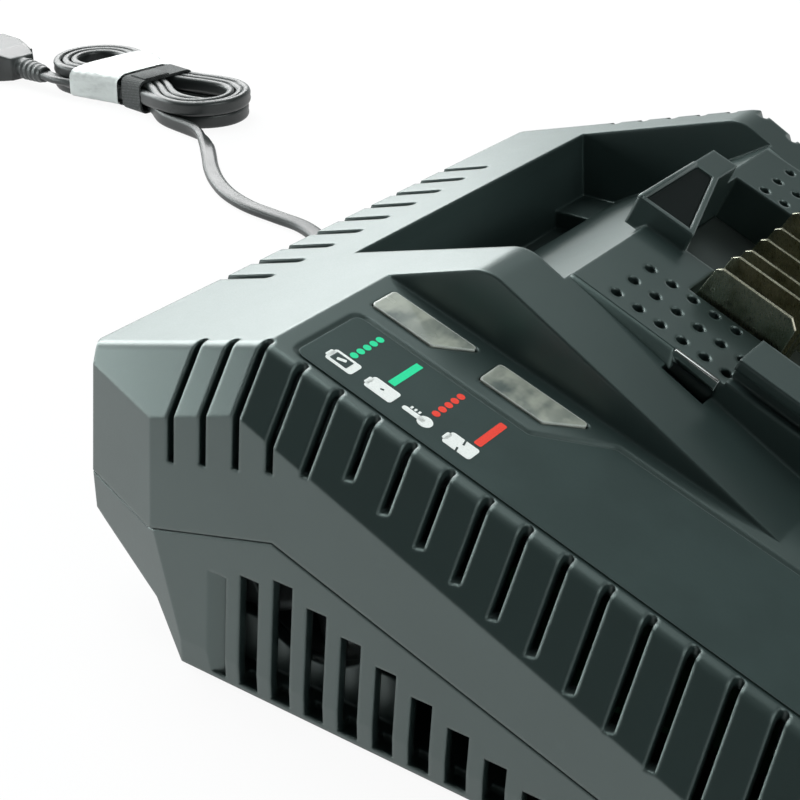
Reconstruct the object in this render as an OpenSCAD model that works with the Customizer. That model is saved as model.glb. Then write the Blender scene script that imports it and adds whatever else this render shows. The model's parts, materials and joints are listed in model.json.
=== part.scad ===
// Charger for slide-on tool batteries: a two-part moulded housing with a sloping
// battery bay, slotted vents, a control panel, a fan and a mains lead.
// All lengths are millimetres and all angles are degrees. The origin is the centre
// of the footprint on the supporting surface. The front wall faces -Y, the low
// nose faces +X and +Z is up.

/* [Housing] */
// Length from the overhanging end to the nose
body_l = 180; // [176:2:200]
// Depth from the front wall to the rear wall
body_w = 202; // [200:2:216]
// Height of the crease where the plateau meets the control panel
ridge_h = 74; // [73:0.5:78]
// Distance of that crease from the overhanging end
ridge_from_end = 54.5; // [53:0.5:57]
// Distance of the highest point of the rim from the overhanging end
peak_from_end = 78.2; // [77:0.2:80]
// Rise of the plateau towards the nose
plateau_slope = 15.5; // [15:0.25:16.5]
// Fall of the control panel towards the nose
panel_slope = 19.2; // [18.4:0.2:19.6]
// Fall of the rim beside the bay
rim_slope = 29.5; // [29:0.25:30.5]
// Thickness of the housing walls
wall = 2.4; // [2:0.1:2.8]
// Height of the shadow gap between the two shells
seam = 0.3; // [0.3:0.1:0.8]
// Vertical height of the upper edge chamfer
chamfer_h = 14.1; // [13:0.1:15]
// Horizontal depth of the upper edge chamfer
chamfer_in = 10.65; // [10:0.05:12]
// Distance of the upper edge from the foot of the front wall
edge_in = 14.5; // [14:0.1:15.5]

/* [Battery bay] */
// Width of the bay between its side rims
bay_w = 103.6; // [100:0.2:106]
// Distance of the bay from the front wall
bay_from_front = 72; // [71:0.5:74]
// Distance of the bay's end wall from the overhanging end
bay_from_end = 33; // [32:0.5:35]
// Fall of the bay floor towards the nose
floor_slope = 23.2; // [22.6:0.2:23.8]
// Height of the crest where the bay floor begins
crest_h = 75.6; // [75:0.2:76.4]
// Distance of that crest from the overhanging end
crest_from_end = 87.5; // [87:0.5:89]
// Height of the bottom of the latch valley
valley_h = 50.4; // [49:0.2:52]
// Diameter of the air holes in the bay floor
air_hole_d = 2.7; // [2:0.1:3.2]
// Spacing of the air holes along the slope
air_hole_pitch = 5.7; // [5.5:0.1:6]
// Height of the guide rails above the bay floor
rail_h = 7; // [6:0.5:8]

/* [Vents] */
// Width of the slots along the upper edges
slot_w = 2; // [1.6:0.1:2.4]
// Width of the slots along the rear upper edge
rear_slot_w = 2.8; // [2:0.1:3.2]
// Spacing of the slots along the upper edges
slot_pitch = 8.5; // [8:0.1:9]
// Width of the openings in the lower grilles
grille_w = 5; // [4:0.1:5.6]
// Width of the slots in the overhanging end
end_slot_w = 3; // [2.4:0.1:4]
// Spacing of the slots in the overhanging end
end_slot_pitch = 11.1; // [10:0.1:11.6]

/* [Control panel] */
// Length of a light window along the slope
window_l = 23.2; // [20:0.2:25]
// Width of a light window
window_w = 8; // [7:0.2:9]
// Depth of the label recess
label_depth = 0.6; // [0.4:0.1:1]

/* [Contacts] */
// Thickness of a contact blade
blade_t = 0.8; // [0.6:0.1:1.2]
// Spacing of the contact blades
blade_pitch = 8; // [7.6:0.1:8.4]
// Height of a contact blade above the bay floor
blade_h = 8; // [6:0.5:9]

/* [Electronics] */
// Thickness of the main circuit board
board_t = 1.6; // [1.2:0.2:2.4]
// Width and height of the fan frame
fan_size = 40; // [38:0.5:41]
// Depth of the fan frame
fan_depth = 15; // [12:0.5:16]
// Running gap between the fan blades and the frame
fan_gap = 0.6; // [0.4:0.1:1]

/* [Mains lead] */
// Width of the flat mains lead
lead_w = 6; // [5.4:0.1:6.4]
// Thickness of the flat mains lead
lead_t = 3.6; // [3:0.1:4]
// Length of the tapered strain relief
relief_l = 34; // [26:1:44]

/* [Fasteners and feet] */
// Thread diameter of the housing screws
screw_d = 3; // [2.5:0.1:3.5]
// Diameter of the rubber feet
foot_d = 12; // [9:0.5:14]
// Height that the feet stand out of the base
foot_out = 1; // [0.6:0.1:1.6]

/* [Hidden] */

$fn = 48;
// Reach of half-spaces and cutters, well beyond the model
far = 300;
// Height that clears the whole body
tall = 90;
// Clearance between pieces that seat in one another
fit = 0.2;
// Overlap of a cutter past the face that it opens
over = 1;

x_l = -body_l / 2;
x_r = body_l / 2;
hw = body_w / 2;
ridge_x = x_l + ridge_from_end;
peak_x = x_l + peak_from_end;
peak_h = ridge_h + tan(plateau_slope) * (peak_x - ridge_x);
crest_x = x_l + crest_from_end;
base_z = foot_out;

// Sharp plan outline of the shells at the parting line: two bevels at each corner
corner_l = 40.4;
corner_in = 9.3;
corner_tip = 8.5;
corner_back = 24;
nose_l = 26;
footprint = [
    [x_l + corner_l, -hw], [x_r - nose_l, -hw], [x_r - 6, -hw + 8], [x_r, -hw + 18],
    [x_r, hw - 18], [x_r - 6, hw - 8], [x_r - nose_l, hw], [x_l + corner_l, hw],
    [x_l + corner_tip, hw - corner_in], [x_l, hw - corner_back],
    [x_l, -hw + corner_back], [x_l + corner_tip, -hw + corner_in]];

// Side view of the body: base, undercut end, leaning end wall and nose
side = [
    [x_l + 40, base_z], [x_r - 3, base_z], [x_r, base_z + 3], [x_r, tall],
    [x_l + 17, tall], [x_l + 6.5, 60.3], [x_l + 2, 48], [x_l, 33.4], [x_l + 1, 27],
    [x_l + 12, 21.5], [x_l + 31.8, 12.6]];

// Parting line between the shells, seen from the front
part_bend = [x_l + 64.2, 38];
part_low = 7;
part_left_slope = 14.06;
part_right_slope = 17.5;
part_corner_x = x_l + 30.8;
part_line = [
    [-far, 33.4], [x_l, 33.4],
    [part_corner_x, part_bend[1] - tan(part_left_slope) * (part_bend[0] - part_corner_x)],
    part_bend,
    [part_bend[0] + (part_bend[1] - part_low) / tan(part_right_slope), part_low],
    [far, part_low]];
// Lean of the front and rear walls above the foot, as a share of the height
draft = 0.1;
// Radius of the shoulder and top edges
edge_r = 3;
// Radius over the highest point of the rim
peak_r = 9;

// Near side rim: foot on the control panel, and its draft
rim_foot_y = -hw + 55;
rim_draft = 8;
bay_y0 = -hw + bay_from_front;
bay_y1 = bay_y0 + bay_w;
bay_mid = (bay_y0 + bay_y1) / 2;
bay_x0 = x_l + bay_from_end;
valley_x0 = bay_x0 + 1;
valley_x1 = crest_x - (crest_h - valley_h) / tan(30.1);
// Ledge between the rim and the raised floor
ledge_w = 3.2;
floor_y0 = bay_y0 + ledge_w;
floor_y1 = bay_y1 - ledge_w;
// Latch pocket at the foot of the end wall
pocket_half = 37;
pocket_y0 = bay_mid - pocket_half;
pocket_y1 = bay_mid + pocket_half;
pocket_depth = 5;

function floor_z(x) = crest_h - tan(floor_slope) * (x - crest_x);
function panel_z(x) = ridge_h - tan(panel_slope) * (x - ridge_x);
function plateau_z(x) = ridge_h + tan(plateau_slope) * (x - ridge_x);
function rim_z(x) = x < peak_x ? plateau_z(x) : peak_h - tan(rim_slope) * (x - peak_x);
function front_top_z(x) = x < ridge_x ? plateau_z(x) : panel_z(x);
function rear_top_z(x) = max(rim_z(x), x < ridge_x ? 0 : panel_z(x));
// Height at which the edge chamfer meets the leaning wall below a top height
chamfer_rate = chamfer_h / chamfer_in;
function shoulder_z(top) = (top - (edge_in + draft * part_low) * chamfer_rate)
    / (1 - chamfer_rate * draft);

// Height of the lower shell's lip inside the upper shell
lip_h = 1.8;

// Outline helpers
function unit(v) = v / norm(v);
function cross2(a, b) = a[0] * b[1] - a[1] * b[0];
function inward(a, b) = unit([a[1] - b[1], b[0] - a[0]]);
function crossing(p, u, q, v) = p + u * cross2(q - p, v) / cross2(u, v);
// Moves each edge of a counterclockwise outline inwards by t
function inset(p, t) = [for (i = [0 : len(p) - 1])
    let (n = len(p), a = p[(i + n - 1) % n], b = p[i], c = p[(i + 1) % n],
         na = inward(a, b) * t, nb = inward(b, c) * t)
    crossing(b + na, b - a, b + nb, c - b)];
// Arc that rounds corner b between a and c with radius r
function corner_arc(a, b, c, r, n) =
    let (u = unit(a - b), v = unit(c - b), half = acos(u * v) / 2,
         mid = b + unit(u + v) * r / sin(half), p = b + u * r / tan(half),
         q = b + v * r / tan(half), a0 = atan2(p[1] - mid[1], p[0] - mid[0]),
         a1 = atan2(q[1] - mid[1], q[0] - mid[0]),
         turn = a1 - a0 > 180 ? a1 - a0 - 360 : a1 - a0 < -180 ? a1 - a0 + 360 : a1 - a0)
    [for (i = [0 : n]) mid + r * [cos(a0 + turn * i / n), sin(a0 + turn * i / n)]];
// Rounds the corners of an outline whose radius is not zero
function rounded(p, r, n = 5) = [for (i = [0 : len(p) - 1])
    let (m = len(p), a = p[(i + m - 1) % m], b = p[i], c = p[(i + 1) % m])
    each (r[i] > 0 ? corner_arc(a, b, c, r[i], n) : [b])];

// Cross-section of the upper edges, with its top at height 0, for a run whose
// slope shortens heights by the factor c
function section(c) = let (top_y = hw - edge_in, m = -edge_in * chamfer_rate * c)
    [[-hw, -far], [hw, -far], [hw, m], [top_y, 0], [-top_y, 0], [-hw, m]];
section_r = [0, 0, 0, edge_r, edge_r, 0];

// Places a child on the plane of the control panel: local x runs down the slope
module on_panel() translate([ridge_x, 0, ridge_h]) rotate([0, panel_slope, 0]) children();
// Places a child on the plane of the bay floor, from the crest downwards
module on_floor() translate([crest_x, 0, crest_h]) rotate([0, floor_slope, 0]) children();
// Extrudes a side-view outline (x, z) between two depths
module across(y0, y1) translate([0, y1, 0]) rotate([90, 0, 0]) linear_extrude(y1 - y0) children();
// Extrudes a cross-section outline (y, z) along a sloping run through a point
module run(slope, x, z) translate([x, 0, z]) rotate([0, -slope, 0]) rotate([90, 0, 90])
    linear_extrude(2 * far, center = true) children();

module run_section(slope, x, z, t) {
    outline = inset(section(cos(slope)), t);
    run(slope, x, z) polygon(t > 0 ? outline : rounded(outline, section_r));
}
// Space between the leaning front and rear walls, t inside them
module between_walls(t) {
    lean = draft * (tall - part_low);
    outline = [[-hw, -over], [hw, -over], [hw, part_low], [hw - lean, tall],
        [-hw + lean, tall], [-hw, part_low]];
    rotate([90, 0, 90]) linear_extrude(2 * far, center = true) polygon(inset(outline, t));
}
// Cuts the body along one leaning corner bevel of the footprint, t inside it
module bevel_cut(i, lean, z, t) {
    p = footprint[i];
    q = footprint[(i + 1) % len(footprint)];
    translate([p[0], p[1], z]) rotate([0, 0, atan2(q[1] - p[1], q[0] - p[0])])
        rotate([-lean, 0, 0]) translate([-far, -far + t, -far]) cube([2 * far, far, 2 * far]);
}
module bevel_cuts(t) {
    bevel_cut(11, 5.5, 32, t);
    bevel_cut(7, 5.5, 32, t);
    bevel_cut(10, 4.5, 33.4, t);
    bevel_cut(8, 4.5, 33.4, t);
    for (i = [1, 2, 4, 5]) bevel_cut(i, 0, part_low, t);
}
// Space of the battery bay; t grows it into the wall around it
module bay_space(t) {
    floor_end = x_r + 20;
    outline = [[bay_x0, 110], [bay_x0, plateau_z(bay_x0) - 4], [valley_x0, valley_h],
        [valley_x1, valley_h], [crest_x, crest_h], [floor_end, floor_z(floor_end)],
        [floor_end, 110]];
    across(bay_y0 - t, bay_y1 + t) polygon(inset(outline, -t));
    translate([valley_x0 - t, pocket_y0 - t, valley_h - pocket_depth - t])
        cube([valley_x1 - valley_x0 + 2 * t, pocket_y1 - pocket_y0 + 2 * t, pocket_depth + 2]);
}
// Raised floor that carries the guide rails
module floor_solid(t) {
    foot_x = x_r + 10;
    outline = [[crest_x - 30, 0], [foot_x, 0], [foot_x, floor_z(foot_x)], [crest_x, crest_h],
        [crest_x - 30, crest_h - 16]];
    across(floor_y0 + t, floor_y1 - t) polygon(inset(outline, t));
}
// Solid outer form of the body above the parting line, t inside its skin
module upper_solid(t) {
    difference() {
        intersection() {
            across(-hw - over, hw + over) polygon(inset(side, t));
            between_walls(t);
            run_section(plateau_slope, ridge_x, ridge_h, t);
            union() {
                run_section(-panel_slope, ridge_x, ridge_h, t);
                intersection() {
                    run_section(-rim_slope, peak_x, peak_h, t);
                    on_panel() translate([0, rim_foot_y + t, 0]) rotate([-rim_draft, 0, 0])
                        translate([-far, 0, -far]) cube([2 * far, far, 2 * far]);
                }
                floor_solid(t);
            }
        }
        bevel_cuts(t);
        bay_space(t);
    }
}
// Solid outer form of the body below the parting line, t inside its skin
module lower_solid(t) intersection() {
    across(-hw - over, hw + over) polygon(inset(side, t));
    between_walls(t);
    linear_extrude(tall) polygon(inset(footprint, t));
}
// Half-spaces above and below the parting line, moved by dz
module above_parting(dz) across(-hw - over, hw + over) translate([0, dz])
    polygon(concat(part_line, [[far, far], [-far, far]]));
module below_parting(dz) across(-hw - over, hw + over) translate([0, dz])
    polygon(concat(part_line, [[far, -far], [-far, -far]]));

// Removes the sharp peak of the rim along its rounded crest
module peak_shave() {
    u = [-cos(plateau_slope), -sin(plateau_slope)];
    v = [cos(rim_slope), -sin(rim_slope)];
    p = [peak_x, peak_h];
    arc = corner_arc(p + u * 40, p, p + v * 40, peak_r, 8);
    across(rim_foot_y - over, hw + over) polygon(concat(arc, [p + [0, 3]]));
}

// Slots along the front and rear upper edges
slot_x0 = x_l + 37.4;
slot_n = 17;
slot_tip_y = -hw + edge_in + 1.6;
slot_fixed_n = 5;
function slot_x(k) = slot_x0 + slot_pitch * k;
// The slots end on the wall at the high end and follow the shoulder further on
function slot_bottom(k) = k < slot_fixed_n ? ridge_h - 23.3 + 0.23 * (slot_x(k) - ridge_x)
    : shoulder_z(front_top_z(slot_x(k))) + 3.7 - 0.5 * (k - slot_fixed_n);
module edge_slot(x, z, w) translate([x, 0, z]) linear_extrude(far) union() {
    translate([0, slot_tip_y]) circle(d = w);
    translate([-w / 2, -far]) square([w, far + slot_tip_y]);
}
module front_slots() for (k = [0 : slot_n - 1]) edge_slot(slot_x(k), slot_bottom(k), slot_w);
module rear_slots() mirror([0, 1, 0]) for (k = [0 : slot_n - 1])
    edge_slot(slot_x(k), shoulder_z(rear_top_z(slot_x(k))) - 1, rear_slot_w);

// Slots through the upper edge of the overhanging end
end_slot_n = 9;
end_slot_depth = 21.5;
end_slot_drop = 14;
module end_slots() for (k = [0 : end_slot_n - 1])
    translate([0, (k - (end_slot_n - 1) / 2) * end_slot_pitch, 0]) {
        z = plateau_z(x_l + 8) - end_slot_drop;
        translate([x_l - over, -end_slot_w / 2, z])
            cube([end_slot_depth - end_slot_w / 2 + over, end_slot_w, far]);
        translate([x_l + end_slot_depth - end_slot_w / 2, 0, z])
            cylinder(d = end_slot_w, h = far);
    }

// Openings of the lower grilles, cut through the wall and the bottom edge
grille_x0 = x_l + 47.7;
grille_sill = 1.3;
grille_n = 11;
grille_top_bend = [x_l + 67.3, 30.3];
grille_left_slope = 14.06;
grille_right_slope = 19.8;
function grille_top(x) = x < grille_top_bend[0]
    ? grille_top_bend[1] + tan(grille_left_slope) * (x - grille_top_bend[0])
    : grille_top_bend[1] - tan(grille_right_slope) * (x - grille_top_bend[0]);
// Places a child on the outer face of the leaning front wall
module on_front() translate([0, -hw, part_low]) rotate([-atan(draft), 0, 0])
    translate([0, 0, -part_low]) children();
module grille_openings() on_front() for (k = [1 : grille_n - 1]) {
    x = grille_x0 + slot_pitch * k;
    sill = base_z + grille_sill;
    translate([x, -over, sill]) cube([grille_w, wall + 3 * over, grille_top(x + grille_w / 2) - sill]);
}
// The first opening of each grille is a wedge that deepens towards a narrow slit
recess_slit = 1.3;
module grille_recess() on_front() translate([grille_x0, 0, base_z + grille_sill])
    linear_extrude(grille_top(grille_x0 + grille_w / 2) - base_z - grille_sill) polygon([
        [0, -over], [grille_w, -over], [grille_w, wall + 2 * over],
        [grille_w - recess_slit, wall + 2 * over], [grille_w - recess_slit, wall * 0.8], [0, 0]]);

// Air holes in the raised floor, in two groups beside the contacts
air_rows = [6, 6, 5];
air_row_pitch = 7.55;
air_x0 = 9.1;
air_from_ledge = 3.9;
module air_holes() on_floor() for (side_y = [0, 1], r = [0 : len(air_rows) - 1],
    k = [0 : air_rows[r] - 1]) {
    y = floor_y0 + air_from_ledge + r * air_row_pitch;
    translate([air_x0 + k * air_hole_pitch, side_y == 0 ? y : 2 * bay_mid - y, -wall - 2])
        cylinder(d = air_hole_d, h = wall + 4);
}

// Contacts: one well in the floor, its hood at the crest and the blades
blade_n = 7;
blade_x0 = 19.7;
blade_len = 22;
blade_y0 = bay_mid - blade_pitch * (blade_n - 1) / 2 - 1.5;
hood_h = 5;
hood_w = 28;
hood_y0 = bay_mid - 16;
hood_x0 = -5;
hood_x1 = 10.4;
hood_x2 = 2;
hood_rim = 1.4;
hood_recess = 0.8;
well_x1 = 52;
well_y0 = blade_y0 - 1.6;
well_y1 = bay_mid + (blade_n - 1) / 2 * blade_pitch + 3;
well_depth = 12;
carrier_t = 2.6;
well_outline = [[blade_x0 - 1.6, well_y0], [well_x1, well_y0], [well_x1, well_y1],
    [hood_x2, well_y1], [hood_x2, hood_y0 + hood_w], [hood_x1, hood_y0 + 1.4],
    [blade_x0 - 1.6, hood_y0 + 1.4]];
module well_space(t, depth) on_floor() translate([0, 0, -depth])
    linear_extrude(depth + 20) polygon(inset(well_outline, -t));
hood_outline = [[hood_x0, hood_y0], [hood_x1, hood_y0], [hood_x2, hood_y0 + hood_w],
    [hood_x2, hood_y0 + hood_w + 10], [hood_x0, hood_y0 + hood_w + 10]];
module hood() on_floor() translate([0, 0, -wall]) linear_extrude(hood_h + wall) polygon(hood_outline);
// Sunken roof of the hood, which takes its cover
cover_outline = [for (i = [0 : 2]) hood_outline[i], [hood_x0, hood_y0 + hood_w]];
module cover_space(t) on_floor() translate([0, 0, hood_h - hood_recess])
    linear_extrude(hood_recess + (t > 0 ? -0.2 : over)) polygon(inset(cover_outline, hood_rim + t));

// Guide rails with an undercut on their outer side
rail_x0 = 39;
rail_x1 = (x_r - 11.6 - crest_x) / cos(floor_slope);
rail_w = 11;
rail_lip = 2.4;
rail_lip_h = 2.6;
module guide_rail() difference() {
    on_floor() translate([rail_x0, floor_y0, -wall]) cube([rail_x1 - rail_x0, rail_w, rail_h + wall]);
    on_floor() translate([rail_x0 - over, floor_y0 - over, 0.8])
        cube([rail_x1 - rail_x0 + 2 * over, rail_lip + over, rail_h - rail_lip_h - 0.8]);
}
module mirror_bay() { children(); translate([0, 2 * bay_mid, 0]) mirror([0, 1, 0]) children(); }
// Narrow slot between the rim and each rail
rail_slot_x0 = 26.8;
rail_slot_x1 = 38;
// How far the slot reaches into the rim and into the raised floor
rail_slot_bite = 0.4;
module rail_slots() mirror_bay() on_floor()
    translate([rail_slot_x0, floor_y0 - ledge_w - rail_slot_bite, -far / 3])
    cube([rail_slot_x1 - rail_slot_x0, ledge_w + 2 * rail_slot_bite, far]);

// Light windows and label on the control panel
window_x0 = 4.6;
window_pitch = 27.9;
window_y0 = -hw + 43.2;
window_proud = 0.4;
window_t = wall + window_proud;
window_flange_t = 1.4;
window_bend = 15.6;
window_corners = [[0, 0], [window_bend, 0], [window_l, window_w], [0, window_w]];
module window_outline(grow) polygon(rounded(inset(window_corners, -grow), [for (c = window_corners) 0.9], 3));
module window_place(i) on_panel() translate([window_x0 + window_pitch * i, window_y0, 0]) children();
label_x0 = 4.7;
label_x1 = (x_r - 9 - ridge_x) / cos(panel_slope);
label_y0 = -hw + 18.2;
label_y1 = -hw + 38.6;
label_y2 = rim_foot_y - 4.5;
label_step0 = 48.2;
label_step1 = 62;
label_outline = [[label_x0, label_y0], [label_x1, label_y0], [label_x1, label_y2],
    [label_step1, label_y2], [label_step0, label_y1], [label_x0, label_y1]];
// Width of the bright slant around the label and height of its cutter
label_slant = 1;
label_lift = 0.3;
module label_recess() {
    function ring(t, z) = [for (q = inset(rounded(label_outline, [for (c = label_outline) 2], 3), -t))
        [q[0], q[1], z]];
    low = ring(0, -label_depth);
    n = len(low);
    polyhedron(points = concat(low, ring(label_slant * (1 + label_lift / label_depth), label_lift)),
        faces = concat([[for (i = [0 : n - 1]) i]], [[for (i = [n - 1 : -1 : 0]) n + i]],
            [for (i = [0 : n - 1]) [i, n + i, n + (i + 1) % n, (i + 1) % n]]));
}

// Screw columns
column_d = 8;
screw_at = [[x_l + 44.6, -hw + 18], [x_r - 14, -hw + 24], [x_l + 47, hw - 12],
    [x_r - 14, hw - 24]];
column_split = [16, 12, 16, 12];
head_d = screw_d * 1.9;
head_depth = 4;
screw_grip = 10;

// Main board and its posts
board_x0 = x_l + 48;
board_x1 = x_r - 14;
board_y0 = -hw + 28;
board_y1 = board_y0 + 106;
board_z = base_z + wall + 7;
board_top = board_z + board_t;
board_hole_in = 5;
board_holes = [[board_x0 + board_hole_in, board_y0 + board_hole_in],
    [board_x1 - board_hole_in, board_y0 + board_hole_in],
    [board_x0 + board_hole_in, board_y1 - board_hole_in],
    [board_x1 - board_hole_in, board_y1 - board_hole_in]];
post_d = 7;

// Fan behind the front grille, blowing along Y
fan_x = x_l + 70;
fan_z = base_z + wall + fan_size / 2 + 5.5;
fan_y0 = -hw + wall + 7.5;
fan_bore = fan_size - 2.6;
fan_hub_d = 17;
fan_hole_in = 4;

// Lead, gland and clamp under the overhanging end
gland_y = board_y1 + 16;
gland_x = x_l + 38.5;
gland_z = base_z + 6.6;
relief_d0 = 11;
relief_d1 = 8;
relief_flange_d = 13;
relief_flange_t = 2.4;

// ---- housing ----
module column_at(i) translate([screw_at[i][0], screw_at[i][1], 0]) children();
module housing_colour() color([0.16, 0.18, 0.18]) children();

module upper_housing() housing_colour() difference() {
    union() {
        difference() {
            intersection() {
                upper_solid(0);
                above_parting(seam / 2);
            }
            difference() {
                upper_solid(wall);
                well_space(wall, well_depth + wall);
            }
        }
        intersection() {
            upper_solid(wall / 2);
            for (i = [0 : len(screw_at) - 1]) column_at(i)
                translate([0, 0, column_split[i]]) cylinder(d = column_d, h = tall);
        }
        hood();
        mirror_bay() guide_rail();
    }
    well_space(0, well_depth + wall + 2 * over);
    cover_space(0);
    peak_shave();
    front_slots();
    rear_slots();
    end_slots();
    air_holes();
    rail_slots();
    for (i = [0, 1]) window_place(i) translate([0, 0, -far / 4])
        linear_extrude(far / 2) window_outline(fit);
    on_panel() label_recess();
    for (i = [0 : len(screw_at) - 1]) column_at(i)
        translate([0, 0, column_split[i] - over]) cylinder(d = screw_d, h = screw_grip + 2 + over);
    intersection() {
        difference() {
            lower_solid(wall / 2 - fit);
            lower_solid(wall + 0.05);
        }
        below_parting(lip_h + 2 * fit);
    }
}

module lower_housing() housing_colour() difference() {
    union() {
        difference() {
            intersection() {
                lower_solid(0);
                below_parting(-seam / 2);
            }
            lower_solid(wall);
        }
        intersection() {
            difference() {
                lower_solid(wall / 2);
                lower_solid(wall);
            }
            below_parting(lip_h);
            above_parting(-seam - 1);
        }
        intersection() {
            lower_solid(wall / 2);
            union() {
                for (i = [0 : len(screw_at) - 1]) column_at(i)
                    cylinder(d = column_d, h = column_split[i]);
                for (p = board_holes) translate([p[0], p[1], 0]) cylinder(d = post_d, h = board_z);
                translate([clamp_x0, gland_y - clamp_w / 2, 0])
                    cube([clamp_l, clamp_w, gland_z - lead_t / 2]);
                translate([gland_x - 8, gland_y - relief_flange_d / 2 - 2, 0])
                    cube([8 + relief_flange_t, relief_flange_d + 4, gland_z + relief_flange_d / 2 + 2]);
                fan_cradle();
            }
        }
    }
    grille_openings();
    mirror([0, 1, 0]) grille_openings();
    grille_recess();
    mirror([0, 1, 0]) grille_recess();
    for (i = [0 : len(screw_at) - 1]) column_at(i) {
        translate([0, 0, -over]) cylinder(d = screw_d + 0.4, h = 40);
        translate([0, 0, -over]) cylinder(d = head_d + 0.8, h = base_z + head_depth + over);
    }
    for (p = board_holes) translate([p[0], p[1], board_z - 6]) cylinder(d = board_screw_d, h = 10);
    for (p = clamp_screw_at) translate([p[0], p[1], gland_z - 6]) cylinder(d = board_screw_d, h = 10);
    for (p = foot_at) translate([p[0], p[1], -over]) cylinder(d = foot_d, h = base_z + foot_in + over);
    relief_passage();
    at_fan() fan_holes(3, [-1]);
}
board_screw_d = 2.5;
foot_in = 1.2;
foot_in_y = 44;
foot_from_end = 60;
foot_from_nose = 20;
foot_at = [for (y = [-hw + foot_in_y, hw - foot_in_y], x = [x_l + foot_from_end, x_r - foot_from_nose]) [x, y]];

module rubber_feet() color([0.06, 0.06, 0.06]) for (p = foot_at) translate([p[0], p[1], 0]) {
    cylinder(d = foot_d - 1.6, h = foot_out);
    translate([0, 0, foot_out / 2]) cylinder(d = foot_d - fit, h = foot_out / 2 + foot_in);
}

// ---- control panel ----
module label_panel() color([0.1, 0.12, 0.12]) on_panel() translate([0, 0, -label_depth])
    linear_extrude(label_depth - 0.25)
    polygon(inset(rounded(label_outline, [for (c = label_outline) 2], 3), fit));

module light_window(i) color([0.8, 0.82, 0.78]) window_place(i) {
    translate([0, 0, -wall]) linear_extrude(window_t) window_outline(0);
    translate([0, 0, -wall - window_flange_t]) linear_extrude(window_flange_t)
        window_outline(1.2);
}
module light_window_1() light_window(0);
module light_window_2() light_window(1);

status_board_t = 1.2;
led_h = 2;
status_z = -wall - window_flange_t - led_h;
module status_board() color([0.1, 0.32, 0.2]) on_panel()
    translate([window_x0 - 1.4, window_y0 - 1.4, status_z - status_board_t])
    cube([window_pitch + window_l + 2.8, window_w + 2.8, status_board_t]);
module status_leds() color([0.9, 0.9, 0.8]) for (i = [0, 1], k = [0 : 1])
    window_place(i) translate([6 + 7 * k, window_w / 2 - 1.4, status_z]) {
        cube([3.2, 2.8, led_h - 0.7]);
        translate([1.6, 1.4, led_h - 0.7]) cylinder(d = 2.2, h = 0.7);
    }

// ---- contacts ----
blade_root = well_depth + wall + carrier_t + 3;
power_blades_at = [0, 1, 5, 6];
signal_blades_at = [2, 3, 4];
module blade(k, h, grow) on_floor() translate([0, blade_y0 + k * blade_pitch + blade_t / 2 + grow, 0])
    rotate([90, 0, 0]) linear_extrude(blade_t + 2 * grow) polygon([
        [blade_x0 - grow, -blade_root], [blade_x0 + blade_len + grow, -blade_root],
        [blade_x0 + blade_len + grow, h - 2], [blade_x0 + blade_len - 2, h],
        [blade_x0 + 2.2, h], [blade_x0 + 1, h - 1], [blade_x0 - grow, 0]]);
module power_blades() color([0.62, 0.58, 0.44]) for (k = power_blades_at) blade(k, blade_h, 0);
module signal_blades() color([0.66, 0.64, 0.52]) for (k = signal_blades_at)
    blade(k, blade_h - 1.5, 0);
module hood_cover() color([0.04, 0.05, 0.05]) cover_space(fit);
// Moulded carrier that closes the well from below and holds the blades
module contact_carrier() color([0.05, 0.06, 0.06]) difference() {
    on_floor() translate([0, 0, -well_depth - wall - carrier_t]) {
        linear_extrude(wall + carrier_t) polygon(inset(well_outline, fit));
        linear_extrude(carrier_t) polygon(inset(well_outline, -wall));
    }
    for (k = [0 : blade_n - 1]) blade(k, blade_h, 0.03);
}

// ---- main board and its parts ----
module main_board() color([0.1, 0.36, 0.2]) difference() {
    translate([board_x0, board_y0, board_z])
        cube([board_x1 - board_x0, board_y1 - board_y0, board_t]);
    for (p = board_holes) translate([p[0], p[1], board_z - over])
        cylinder(d = board_screw_d + 0.6, h = board_t + 2 * over);
    for (i = [0 : len(screw_at) - 1]) column_at(i) cylinder(d = column_d + 2, h = tall);
}
module board_screws() color([0.75, 0.75, 0.72]) for (p = board_holes) translate([p[0], p[1], 0]) {
    translate([0, 0, board_z - 5]) cylinder(d = board_screw_d - 0.1, h = 5 + board_t);
    translate([0, 0, board_top]) difference() {
        cylinder(d = board_screw_d * 2, h = 1.8);
        translate([0, 0, 1]) cylinder(d = 2.4, h = 2, $fn = 6);
    }
}
// Places a child on the main board, at a distance from its near left corner
module on_board(x, y) translate([board_x0 + x, board_y0 + y, board_top]) children();

// Two E-shaped core halves around a wound bobbin
core = [34, 28, 30];
core_leg = 6;
bobbin_gap = 0.4;
core_at = [24, 60];
module transformer_core() color([0.2, 0.2, 0.21]) on_board(core_at[0], core_at[1]) {
    difference() {
        cube(core);
        translate([core_leg, -over, core_leg])
            cube([core[0] - 2 * core_leg, core[1] + 2 * over, core[2] - 2 * core_leg]);
    }
    translate([core_leg, core[1] / 2, core[2] / 2]) rotate([0, 90, 0])
        cylinder(d = 10, h = core[0] - 2 * core_leg);
}
module transformer_winding() color([0.85, 0.66, 0.2])
    on_board(core_at[0] + core_leg + bobbin_gap, core_at[1] + core[1] / 2)
    translate([0, 0, core[2] / 2]) rotate([0, 90, 0]) difference() {
        union() {
            len = core[0] - 2 * core_leg - 2 * bobbin_gap;
            cylinder(d = core[2] - 2 * core_leg - 3, h = len);
            cylinder(d = core[2] - 2 * core_leg - 0.8, h = 1.4);
            translate([0, 0, len - 1.4]) cylinder(d = core[2] - 2 * core_leg - 0.8, h = 1.4);
        }
        translate([0, 0, -over]) cylinder(d = 10.2, h = core[0]);
    }

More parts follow.
